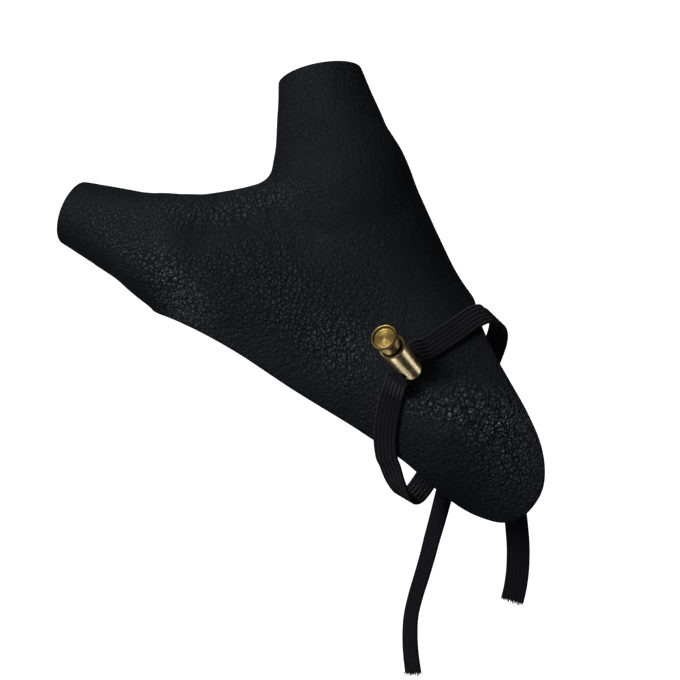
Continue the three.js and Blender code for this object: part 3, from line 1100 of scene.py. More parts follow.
@dataclass
class Leather:
    """The leather: two sleeves, the web, the back panel and the wrist tongue, cut from one piece."""

    form: HandForm
    wardrobe: Wardrobe
    wall: float = 1.6
    cell: float = 0.95
    side_wrap: float = 4.0
    panel_corner: float = 8.0
    inner_corner: float = 6.0
    net_low: tuple[float, float, float] = (-152.0, -30.0, -36.0)
    net_high: tuple[float, float, float] = (46.0, 34.0, 104.0)
    snap: float = 0.34
    folds: tuple[tuple[float, float, float], ...] = ((0.35, 24.0, 3.0), (0.12, 7.0, 11.0))
    calm_edge: float = 6.0
    edge_folds: float = 0.35
    rim_rounding: tuple[tuple[float, float], ...] = ((0.12, 0.16), (0.5, 0.3), (0.88, 0.16))
    # Grain, shine and cracks everywhere, how much they drift, and the most of each; the shine paints
    # highlights into the leather's colour.
    base_wear_and_light: tuple[float, float, float] = (0.36, 0.03, 0.1)
    wear_and_light_drift: tuple[float, float, float] = (0.2, 0.05, 0.2)
    most_wear_and_light: float = 1.9
    free_edge: tuple[tuple[float, float], ...] = (
        (1.08, -0.29), (0.97, -0.3), (0.86, -0.291), (0.67, -0.288), (0.453, -0.316), (0.23, -0.333),
        (0.07, -0.36), (-0.055, -0.408), (-0.155, -0.43), (-0.22, -0.421), (-0.273, -0.392),
        (-0.308, -0.333), (-0.324, -0.235), (-0.323, -0.131), (-0.298, -0.024), (-0.249, 0.088),
        (-0.172, 0.197), (-0.084, 0.297), (0.023, 0.425), (0.1, 0.545), (0.15, 0.681), (0.19, 0.86),
    )
    palm_edge: tuple[tuple[float, float], ...] = (
        (1.0, -0.46), (0.963, -0.281), (0.915, -0.095), (0.837, 0.105), (0.69, 0.305), (0.584, 0.528),
        (0.494, 0.805), (0.426, 1.019), (0.34, 1.16),
    )
    # Spots of grain, shine and cracks. Raised shine paints highlights into the colour at the web top, along
    # the index sleeve, on the knuckle ridge, left of the lock and on the wrist tongue. Shine taken below zero
    # paints shade in the hollow under the web and on the right side of the thumb. Grain and cracks are the
    # leather's own texture.
    wear_and_light_spots: tuple[WearAndLightSpot, ...] = (
        WearAndLightSpot(-67.0, 70.5, 11.0, 4.5, 16.0, 0.8, 0.9, 0.35),
        WearAndLightSpot(-90.0, 67.5, 11.0, 3.5, -4.0, 0.4, 0.35),
        WearAndLightSpot(-79.0, 58.0, 17.0, 4.5, 4.0, -0.6, -0.2),
        WearAndLightSpot(-92.0, 41.0, 13.0, 6.0, -56.0, 0.7, 1.6, 0.3),
        WearAndLightSpot(-114.0, 66.0, 16.0, 4.5, -8.0, 0.5, 0.3),
        WearAndLightSpot(-110.0, 54.5, 15.0, 3.4, -35.0, 0.5, 0.5),
        WearAndLightSpot(-60.0, 42.0, 27.0, 13.0, -38.0, 0.8, 0.3),
        WearAndLightSpot(-38.5, 22.5, 10.0, 7.5, -45.0, 0.9, 1.05, 0.4),
        WearAndLightSpot(8.0, 0.5, 13.0, 6.0, -18.0, 0.8, 1.9, 1.1),
        WearAndLightSpot(-8.0, 2.0, 9.0, 4.0, -8.0, 0.5, 0.9, 0.5),
        WearAndLightSpot(15.5, -12.0, 11.0, 7.0, -55.0, 0.5, 0.8, 1.1),
        WearAndLightSpot(-51.0, 97.0, 20.0, 9.0, 80.0, 0.3, 0.05),
        WearAndLightSpot(-21.8, 64.0, 36.0, 12.0, -62.0, -0.3, -0.2),
    )

    def __post_init__(self) -> None:
        """Lay out the edges and the mouths."""
        self.inside_free = edge_line(self.form, self.free_edge)
        self.inside_palm = edge_line(self.form, self.palm_edge)
        self.mouths = []
        for sleeve, knuckle in ((self.form.index, "index_knuckle"), (self.form.thumb, "thumb_knuckle")):
            line = sleeve.line()
            self.mouths.append((self.form.joints[knuckle].at + line * sleeve.length, line))

    def coverage(self, points: Array) -> Array:
        """Distance inside the leather's edges, above zero where the hand is covered.

        Args:
            points: Rows of points.

        Returns:
            One distance for each point.
        """
        back = round_min(self.inside_free(points), self.side_wrap - points[:, 1], self.panel_corner)
        cover = -round_min(-back, -self.inside_palm(points), self.inner_corner)
        for mouth, line in self.mouths:
            cover = np.minimum(cover, (mouth - points) @ line)
        return cover

    def skin(self) -> tuple[Array, Array]:
        """Surface net of the hand on the flesh side of the leather.

        Returns:
            Points and triangles.
        """
        low, high = np.array(self.net_low), np.array(self.net_high)
        counts = np.ceil((high - low) / self.cell).astype(int)
        axes = [low[a] + self.cell * np.arange(counts[a] + 1) for a in range(3)]
        values = np.empty(tuple(counts + 1))
        for i, x in enumerate(axes[0]):
            y, z = np.meshgrid(axes[1], axes[2], indexing="ij")
            slab = np.stack([np.full(y.size, x), y.ravel(), z.ravel()], axis=1)
            values[i] = (self.form.distance(slab) + self.wall).reshape(y.shape)
        inside = values < 0
        corners = np.array([[i & 1, i >> 1 & 1, i >> 2 & 1] for i in range(8)])
        nx, ny, nz = counts
        total = sum(inside[a : a + nx, b : b + ny, c : c + nz].astype(int) for a, b, c in corners)
        active = np.argwhere((total > 0) & (total < 8))
        number = np.full(tuple(counts), -1)
        number[tuple(active.T)] = np.arange(len(active))
        sums = np.zeros((len(active), 3))
        hits = np.zeros(len(active))
        at_corner = [values[tuple((active + c).T)] for c in corners]
        for a in range(8):
            for axis in range(3):
                b = a | 1 << axis
                if b == a:
                    continue
                va, vb = at_corner[a], at_corner[b]
                cross = (va < 0) != (vb < 0)
                share = np.where(cross, va / np.where(cross, va - vb, 1.0), 0.0)
                spot = active + corners[a] + share[:, None] * (corners[b] - corners[a])
                sums += spot * cross[:, None]
                hits += cross
        points = low + self.cell * sums / hits[:, None]
        points = settle(self.form.distance, points, -self.wall)
        triangles = []
        for axis in range(3):
            one, two = (axis + 1) % 3, (axis + 2) % 3
            step = np.zeros(3, int)
            step[axis] = 1
            here = inside[1:-1, 1:-1, 1:-1]
            ahead = inside[tuple(slice(1 + step[a], inside.shape[a] - 1 + step[a]) for a in range(3))]
            edges = np.argwhere(here != ahead) + 1
            was_in = inside[tuple(edges.T)]
            e1, e2 = np.eye(3, dtype=int)[one], np.eye(3, dtype=int)[two]
            quad = np.stack([number[tuple((edges - s).T)] for s in (e1 + e2, e2, 0 * e1, e1)], axis=1)
            quad = np.where(was_in[:, None], quad, quad[:, ::-1])
            quad = quad[(quad >= 0).all(1)]
            triangles.append(quad)
        quads = np.vstack(triangles)
        a, b, c, d = (points[quads[:, i]] for i in range(4))
        short = np.linalg.norm(a - c, axis=1) < np.linalg.norm(b - d, axis=1)
        first = np.where(short[:, None], quads[:, [0, 1, 2]], quads[:, [0, 1, 3]])
        second = np.where(short[:, None], quads[:, [0, 2, 3]], quads[:, [1, 2, 3]])
        return points, np.vstack([first, second])

    def to_edge(self, points: Array) -> Array:
        """Slide points of the flesh side onto the leather's edge.

        Args:
            points: Rows of points near the edge.

        Returns:
            The points on the edge.
        """
        for _ in range(4):
            normal = self.form.normals(points)
            slope = gradient(self.coverage, points)
            slope -= (slope * normal).sum(1)[:, None] * normal
            size = np.maximum((slope**2).sum(1), 0.2)
            points = points - slope * (self.coverage(points) / size)[:, None]
            points = settle(self.form.distance, points, -self.wall, 1)
        return points

    def trimmed(self) -> tuple[Array, list[tuple[int, int, int]]]:
        """The covered part of the hand's surface, cut along the leather's edges.

        Returns:
            Points and triangles.
        """
        points, triangles = self.skin()
        cover = self.coverage(points)
        near = np.abs(cover) < self.snap * self.cell
        points[near] = self.to_edge(points[near])
        cover[near] = 0.0
        corner = cover[triangles]
        whole = (corner >= 0).all(1) & (corner > 0).any(1)
        crossing = (corner > 0).any(1) & (corner < 0).any(1)
        kept = [tuple(row) for row in triangles[whole].tolist()]
        cuts: dict[tuple[int, int], int] = {}
        extra: list[Array] = []
        for triangle in triangles[crossing].tolist():
            ring: list[int] = []
            for side, v in enumerate(triangle):
                after = triangle[(side + 1) % 3]
                if cover[v] >= 0:
                    ring.append(v)
                if cover[v] * cover[after] < 0:
                    key = (min(v, after), max(v, after))
                    if key not in cuts:
                        share = cover[key[0]] / (cover[key[0]] - cover[key[1]])
                        cuts[key] = len(points) + len(extra)
                        extra.append(points[key[0]] + share * (points[key[1]] - points[key[0]]))
                    ring.append(cuts[key])
            kept += [(ring[0], ring[i - 1], ring[i]) for i in range(2, len(ring))]
        points = np.vstack([points, self.to_edge(np.array(extra))])
        return points, kept

    def relief(self, points: Array) -> Array:
        """How far the worn leather stands off its smooth form, in millimetres.

        Args:
            points: Rows of points on the leather.

        Returns:
            One height for each point.
        """
        soft = sum(height * waves(points, size, seed) for height, size, seed in self.folds)
        calm = smooth_step(self.coverage(points), 0.0, self.calm_edge)
        return soft * (self.edge_folds + (1 - self.edge_folds) * calm)

    def wear_and_painted_light(self, points: Array) -> Array:
        """How pebbled, shiny and cracked the leather is. The shine also sets the painted highlights and
        painted shade in the leather's colour.

        Args:
            points: Rows of points in the CAD's frame.

        Returns:
            Grain, shine and cracks for each point.
        """
        drift = waves(points, 17.0, 5.0)
        amounts = np.array(self.base_wear_and_light) + np.outer(drift, self.wear_and_light_drift)
        for spot in self.wear_and_light_spots:
            amounts += spot.share(points)[:, None] * np.array([spot.grain, spot.gloss_and_painted_light, spot.crack])
        return np.clip(amounts, 0.0, self.most_wear_and_light)

    def build(self) -> bpy.types.Object:
        """Build the leather with its wall and rounded cut edges.

        Returns:
            The piece.
        """
        points, triangles = self.trimmed()
        used, flat = np.unique(np.array(triangles), return_inverse=True)
        faces = flat.reshape(-1, 3)
        flesh = points[used]
        normal = self.form.normals(flesh)
        lift = self.relief(flesh)[:, None]
        grain = settle(self.form.distance, flesh + normal * self.wall, 0.0, 1) + normal * lift
        flesh = flesh + normal * lift
        count = len(used)
        sides = np.vstack([faces[:, [0, 1]], faces[:, [1, 2]], faces[:, [2, 0]]])
        known = set(map(tuple, sides.tolist()))
        border = [(a, b) for a, b in known if (b, a) not in known]
        rim = sorted({v for edge in border for v in edge})
        row_of = {v: i for i, v in enumerate(rim)}
        outward = -gradient(self.coverage, flesh[rim])
        outward -= (outward * normal[rim]).sum(1)[:, None] * normal[rim]
        outward = unit(outward)
        rows = []
        for share, bulge in self.rim_rounding:
            rows.append(flesh[rim] + (grain[rim] - flesh[rim]) * share + outward * bulge)
        everything = np.vstack([grain, flesh] + rows)
        faces_out: list[tuple[int, ...]] = [tuple(face) for face in faces.tolist()]
        finish = [int(Side.GRAIN)] * len(faces_out)
        faces_out += [(a + count, c + count, b + count) for a, b, c in faces.tolist()]
        finish += [int(Side.FLESH)] * len(faces)
        first, step = 2 * count, len(rim)
        ladders = {
            v: [v + count, *(first + k * step + row_of[v] for k in range(len(rows))), v] for v in rim
        }
        for a, b in sorted(border):
            one, two = ladders[a], ladders[b]
            for k in range(len(one) - 1):
                faces_out.append((one[k], two[k], two[k + 1], one[k + 1]))
                finish.append(int(Side.CUT))
        placed = self.form.to_cad(everything)
        # The layer carries grain, cracks and the shine that paints highlights and shade into the colour.
        shape = Shape(placed, faces_out, finish, {"wear_and_painted_light": self.wear_and_painted_light(placed)})
        materials = [self.wardrobe.get(f) for f in (Finish.LEATHER, Finish.INSIDE, Finish.EDGE)]
        piece = shape.piece("leather", materials)
        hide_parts("leather_glove")
        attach(piece, "glove")
        LOG.info("leather: %d faces", len(faces_out))
        return piece


@dataclass
class Strap:
    """Section and sweep of the ribbed elastic."""

    width: float = 8.0
    thickness: float = 1.4
    ribs: int = 6
    rib_depth: float = 0.3
    samples: int = 8

    def section(self, width: float, thickness: float) -> Array:
        """Closed outline of the elastic, across and through it.

        Args:
            width: Width of the section.
            thickness: Thickness of the section.

        Returns:
            Rows of places across and through.
        """
        count = self.ribs * self.samples
        share = np.linspace(-1.0, 1.0, count + 1)
        rib = np.abs(np.cos(math.pi * self.ribs * (share + 1) / 2 + math.pi / 2))
        edge = (1 - np.abs(share) ** 12) ** 0.5
        depth = min(self.rib_depth, 0.22 * thickness)
        top = edge * (thickness / 2 - depth + depth * rib)
        upper = np.stack([share * width / 2, top], axis=1)
        lower = np.stack([share * width / 2, -top], axis=1)[::-1]
        return np.vstack([upper[1:-1], [[width / 2, 0.0]], lower[1:-1], [[-width / 2, 0.0]]])

    def sweep(self, line: Array, across: Array, out: Array, widths: Array, thicknesses: Array) -> Shape:
        """Elastic along a line.

        Args:
            line: Middle of the elastic, a row of points.
            across: Direction of its width at each point.
            out: Direction of its thickness at each point.
            widths: Its width at each point.
            thicknesses: Its thickness at each point.

        Returns:
            The shape, with its weave coordinates.
        """
        reach = reach_along(line)
        sections, weave = [], []
        full = self.section(self.width, self.thickness)
        for i, middle in enumerate(line):
            outline = self.section(float(widths[i]), float(thicknesses[i]))
            sections.append(middle + outline[:, :1] * across[i] + outline[:, 1:] * out[i])
            weave.append(np.stack([full[:, 0], np.full(len(full), reach[i]), full[:, 1]], axis=1))
        skin = np.array(sections)
        return Shape(skin.reshape(-1, 3), rings(skin), [], {"weave": np.vstack(weave)})


@dataclass
class LockSeat:
    """Where the cord lock stands on the hand, and its main sizes."""

    form: HandForm
    along: float = 0.19
    across: float = 0.1
    lean: float = 33.0
    turn: float = 20.0
    foot_radius: float = 3.7
    clearance: float = 0.3
    hole_height: float = 2.6

    def __post_init__(self) -> None:
        """Stand the lock on the hand."""
        lean, turn = math.radians(self.lean - 90.0), math.radians(self.turn)
        flat = math.cos(lean)
        self.line = np.array([-math.cos(turn) * flat, math.sin(lean), math.sin(turn) * flat])
        start = self.form.place(self.along, self.across, -2.0)
        self.foot = self.form.walk(start, PALMWARDS, self.foot_radius + self.clearance)
        thumbwards = np.array([0.0, 0.0, 1.0])
        self.hole_line = unit(thumbwards - (thumbwards @ self.line) * self.line)
        self.hole = self.foot + self.line * self.hole_height

    def to_hand(self, points: Array) -> Array:
        """Turn points from the lock's frame, its axis along Y and its hole along Z, into the hand's frame.

        Args:
            points: Rows of points.

        Returns:
            The turned points.
        """
        basis = np.stack([np.cross(self.line, self.hole_line), self.line, self.hole_line])
        return self.foot + points @ basis


@dataclass
class WristBand:
    """The elastic loop round the wrist, with its knot and its two free ends."""

    form: HandForm
    leather: Leather
    seat: LockSeat
    wardrobe: Wardrobe
    strap: Strap = field(default_factory=Strap)
    rest_gap: float = 0.45
    skin_sink: float = 1.0
    bunched_width: float = 3.2
    bunched_thickness: float = 3.0
    lock_spread: float = 14.0
    knot_length: float = 10.0
    knot_width: float = 8.4
    knot_thickness: float = 5.2
    knot_cord: float = 1.35
    tucked: float = 2.6
    knot_spread: tuple[float, float] = (1.5, 0.85)
    knot_weave: tuple[float, float] = (3.2, 60.0)
    leather_reach: tuple[float, float] = (-0.75, -0.4)
    threads: int = 46
    thread_radius: float = 0.17
    long_turns: tuple[float, ...] = (40, 44, 52, 56, 50)
    short_turns: tuple[float, ...] = (30, 20, 14, 16)
    turns: tuple[tuple[float, float], ...] = (
        (-90, -0.03), (-50, -0.018), (-14, 0.008), (4, 0.044), (18, 0.084), (38, 0.128), (56, 0.172),
        (102, 0.197), (120, 0.178), (138, 0.144), (152, 0.097), (170, 0.034), (192, -0.006), (230, -0.025),
        (270, -0.03),
    )
    long_tail: tuple[tuple[float, float, float], ...] = (
        (-0.6, 3, -5.4), (-1.5, 3.3, -8.4), (-2.5, 3.4, -11.8), (-3.6, 3.3, -15.9), (-4.8, 3.1, -20.4),
        (-6.1, 2.9, -25.4), (-7.3, 2.6, -29.9), (-8.5, 2.3, -34.4), (-10.2, 2.1, -40.4),
        (-11.9, 1.8, -46.9), (-13.8, 1.5, -53.4), (-15.8, 1.3, -59.9), (-17.3, 1.2, -66.4),
        (-17.7, 1.3, -72.9), (-17.4, 1.5, -79.4), (-16.6, 1.7, -85.7),
    )
    short_tail: tuple[tuple[float, float, float], ...] = (
        (4.1, -1.7, -2.2), (6.9, -0.9, -4.4), (9.5, -0.2, -7), (12, 0.4, -10.4), (14, 0.9, -14.4),
        (15.3, 1.2, -18.9), (16.3, 1.3, -23.4), (17.1, 1.4, -28.4), (17.8, 1.4, -33.4), (18.3, 1.5, -38.4),
        (18.6, 1.3, -42.9), (18.6, 1.1, -47.4), (18.4, 0.9, -51.4), (17.9, 0.8, -55.4), (17.3, 0.7, -58.6),
        (16.6, 0.7, -61.4),
    )

    def __post_init__(self) -> None:
        """Find the middle of the knot on the palm side."""
        start = self.form.place(self.turns[0][1], 0, 2)
        self.knot_middle = self.form.walk(start, -PALMWARDS, self.knot_thickness / 2 - self.skin_sink)

    def rest_level(self, points: Array) -> Array:
        """Distance from the hand where the middle of the elastic lies.

        Args:
            points: Rows of points.

        Returns:
            One distance for each point.
        """
        low, high = (share * self.strap.width for share in self.leather_reach)
        on_leather = smooth_step(self.leather.coverage(points), low, high)
        return self.rest_gap + self.strap.thickness / 2 - self.skin_sink * (1 - on_leather)

    def route(self) -> Array:
        """Lay the middle of the loop round the wrist and through the lock.

        Returns:
            A close row of points.
        """
        middle = self.rest_gap + self.strap.thickness / 2
        surface = []
        for turn, along in self.turns:
            line = np.array([0.0, math.sin(math.radians(turn)), -math.cos(math.radians(turn))])
            surface.append(self.form.walk(self.form.place(along, 0) - line * self.form.width, line, middle))
        before = next(i for i, (turn, _) in enumerate(self.turns) if turn > 90)
        reach = self.seat.foot_radius + 5 * self.seat.clearance
        surface[before:before] = [
            self.seat.hole - self.seat.hole_line * share * reach for share in (-1.0, -0.5, 0.0, 0.5, 1.0)
        ]
        laid = evenly(through(np.array(surface)), 151)
        level = self.rest_level(laid)
        lifted = np.linalg.norm(laid - self.seat.hole, axis=1) < self.lock_spread
        lifted &= self.form.distance(laid) > level
        resting = settle(self.form.distance, laid, level)
        return through(np.where(lifted[:, None], laid, resting), 6)

    def loop(self) -> bpy.types.Object:
        """Build the loop.

        Returns:
            The piece.
        """
        route = self.route()
        around = length_of(route)
        knot_reach = (self.knot_length / 2 - self.tucked) / around
        line = evenly(route, 420, knot_reach, 1 - knot_reach)
        along = tangents(line)
        reach = self.seat.foot_radius + 5 * self.seat.clearance
        away = np.linalg.norm(line - self.seat.hole, axis=1)
        spread = smooth_step(away, self.seat.foot_radius + self.seat.clearance, reach)
        turned = smooth_step(away, self.seat.foot_radius, reach + self.seat.clearance)[:, None]
        out = self.seat.line * (1 - turned) + self.form.normals(line) * turned
        out = unit(out - (out * along).sum(1)[:, None] * along)
        across = np.cross(along, out)
        from_end = (0.5 - np.abs(np.linspace(0, 1, len(line)) - 0.5)) * around
        spread = spread * smooth_step(from_end, -4 * self.tucked, 2.5 * self.tucked)
        widths = self.bunched_width + (self.strap.width - self.bunched_width) * spread
        thicknesses = self.bunched_thickness + (self.strap.thickness - self.bunched_thickness) * spread
        shape = self.strap.sweep(line, across, out, widths, thicknesses)
        shape.points = self.form.to_cad(shape.points)
        piece = shape.piece("wrist_elastic", [self.wardrobe.get(Finish.ELASTIC)])
        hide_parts("wrist_band")
        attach(piece, "glove")
        LOG.info("wrist elastic: loop of %.0f mm", around)
        return piece

    def knot(self) -> bpy.types.Object:
        """Build the overhand knot that joins the ends on the palm side.

        Returns:
            The piece.
        """
        t = np.linspace(0, 2 * math.pi, 120, endpoint=False)
        loops = np.stack(
            [np.sin(t) + 2 * np.sin(2 * t), np.cos(t) - 2 * np.cos(2 * t), -np.sin(3 * t)], axis=1
        )
        sizes = np.array([self.knot_width, self.knot_length, self.knot_thickness])
        core = self.knot_cord
        scale = (sizes / 2 - [core, core, core * 0.9]) / np.abs(loops).max(0)
        line = (loops * scale)[:, [0, 2, 1]]
        along = unit(np.roll(line, -1, axis=0) - np.roll(line, 1, axis=0))
        out = unit(line - (line * along).sum(1)[:, None] * along)
        across = np.cross(along, out)
        angle = np.linspace(0, 2 * math.pi, 24, endpoint=False)
        radius = core * (1 + 0.1 * np.abs(np.sin(3 * angle)))
        wide, thin = self.knot_spread
        skin = (
            line[:, None]
            + across[:, None] * (wide * radius * np.cos(angle))[None, :, None]
            + out[:, None] * (thin * radius * np.sin(angle))[None, :, None]
        )
        half_width, length = self.knot_weave
        reach = np.linspace(0, length, len(line))
        weave = np.stack(
            [
                np.broadcast_to(half_width * np.cos(angle), skin.shape[:2]),
                np.broadcast_to(reach[:, None], skin.shape[:2]),
                np.zeros(skin.shape[:2]),
            ],
            axis=2,
        )
        middle = self.form.to_cad(skin.reshape(-1, 3) + self.knot_middle)
        shape = Shape(middle, rings(skin, closed=True), [], {"weave": weave.reshape(-1, 3)})
        shape = shape.joined(self.root(self.long_tail, self.long_turns[0]))
        shape = shape.joined(self.root(self.short_tail, self.short_turns[0]))
        piece = shape.piece("elastic_knot", [self.wardrobe.get(Finish.ELASTIC)])
        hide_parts("band_knot")
        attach(piece, "glove")
        LOG.info("knot built")
        return piece

    @staticmethod
    def hanging(along: Array, turn: Array) -> tuple[Array, Array]:
        """Directions across and out of a hanging end.

        Args:
            along: Directions along it.
            turn: How far its face turns away from the viewer, in radians, a column.

        Returns:
            The directions across its width and out of its face.
        """
        level = unit(np.cross(along, PALMWARDS))
        deep = np.cross(along, level)
        across = level * np.cos(turn) + deep * np.sin(turn)
        return across, np.cross(across, along)

    def root(self, points: Sequence[Sequence[float]], turn: float) -> Shape:
        """Gathered stretch of elastic between the knot and one free end.

        Args:
            points: Middle of the free end, in millimetres from the knot.
            turn: How far its face turns at the knot, in degrees.

        Returns:
            The stretch.
        """
        first, second = np.array(points[:2], float)
        tip = first + unit(second - first) * 0.5
        rows = np.array([first * 0.1, first * 0.45, first * 0.8, tip])
        line = evenly(through(rows) + self.form.to_cad(self.knot_middle[None]), 16)
        along = tangents(line)
        across, out = self.hanging(along, np.full((len(line), 1), math.radians(turn)))
        opening = smooth_step(np.linspace(0, 1, len(line)), 0.1, 1.0)
        end_width, end_thickness = self.strap.width * 0.985, self.strap.thickness * 0.94
        widths = self.bunched_width + (end_width - self.bunched_width) * opening
        thicknesses = self.bunched_thickness + (end_thickness - self.bunched_thickness) * opening
        return self.strap.sweep(line, across, out, widths, thicknesses)

    def tail(
        self, name: str, node: str, points: Sequence[Sequence[float]], turns: Sequence[float]
    ) -> bpy.types.Object:
        """Build a free end of the elastic, with its frayed cut.

        Args:
            name: Name of the piece.
            node: The CAD node that it replaces.
            points: Middle of the elastic, in millimetres from the knot, along the CAD's axes.
            turns: How far its face turns away from the viewer, in degrees, spaced evenly along it.

        Returns:
            The piece.
        """
        route = through(np.array(points, float) + self.form.to_cad(self.knot_middle[None]))
        line = evenly(route, max(40, int(length_of(route))))
        along = tangents(line)
        share = np.linspace(0, 1, len(line))
        turn = np.radians(np.interp(share, np.linspace(0, 1, len(turns)), turns))[:, None]
        across, out = self.hanging(along, turn)
        count = len(line)
        shape = self.strap.sweep(
            line, across, out, np.full(count, self.strap.width), np.full(count, self.strap.thickness)
        )
        shape = shape.joined(self.fray(line[-1], along[-1], across[-1], out[-1], length_of(route)))
        piece = shape.piece(name, [self.wardrobe.get(Finish.ELASTIC)])
        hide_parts(node)
        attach(piece, "glove")
        LOG.info("%s: %.0f mm", name, length_of(route))
        return piece

    def fray(self, end: Array, along: Array, across: Array, out: Array, reach: float) -> Shape:
        """Loose threads on a cut end.

        Args:
            end: Middle of the cut.
            along: Direction that the elastic leaves in.
            across: Direction of its width.
            out: Direction of its thickness.
            reach: Place of the cut along the elastic, for the weave.

        Returns:
            The threads.
        """
        draw = np.random.default_rng(17)
        shape = None
        sides, steps = 5, 4
        angle = np.linspace(0, 2 * math.pi, sides, endpoint=False)
        for i in range(self.threads):
            w = (i / (self.threads - 1) - 0.5) * (self.strap.width - 0.5) + draw.normal(0, 0.08)
            t = draw.uniform(-0.4, 0.4) * self.strap.thickness
            root = end + across * w + out * t - along * 0.3
            lean = along + across * draw.normal(0, 0.22) + out * draw.normal(0, 0.3)
            size = draw.uniform(0.6, 1.7)
            bend = across * draw.normal(0, 0.25) + out * draw.normal(0, 0.25)
            skin = []
            for k in range(steps):
                share = k / (steps - 1)
                middle = root + unit(lean) * size * share + bend * size * share**2
                thick = self.thread_radius * (1 - 0.6 * share)
                ring = across * np.cos(angle)[:, None] + out * np.sin(angle)[:, None]
                skin.append(middle + ring * thick)
            sections = np.array(skin)
            weave = np.tile([w, reach, 0.0], (sides * steps, 1))
            thread = Shape(sections.reshape(-1, 3), rings(sections), [], {"weave": weave})
            shape = thread if shape is None else shape.joined(thread)
        return shape

    def tails(self) -> list[bpy.types.Object]:
        """Build both free ends.

        Returns:
            The pieces.
        """
        return [
            self.tail("elastic_end_long", "tail_long", self.long_tail, self.long_turns),
            self.tail("elastic_end_short", "tail_short", self.short_tail, self.short_turns),
        ]


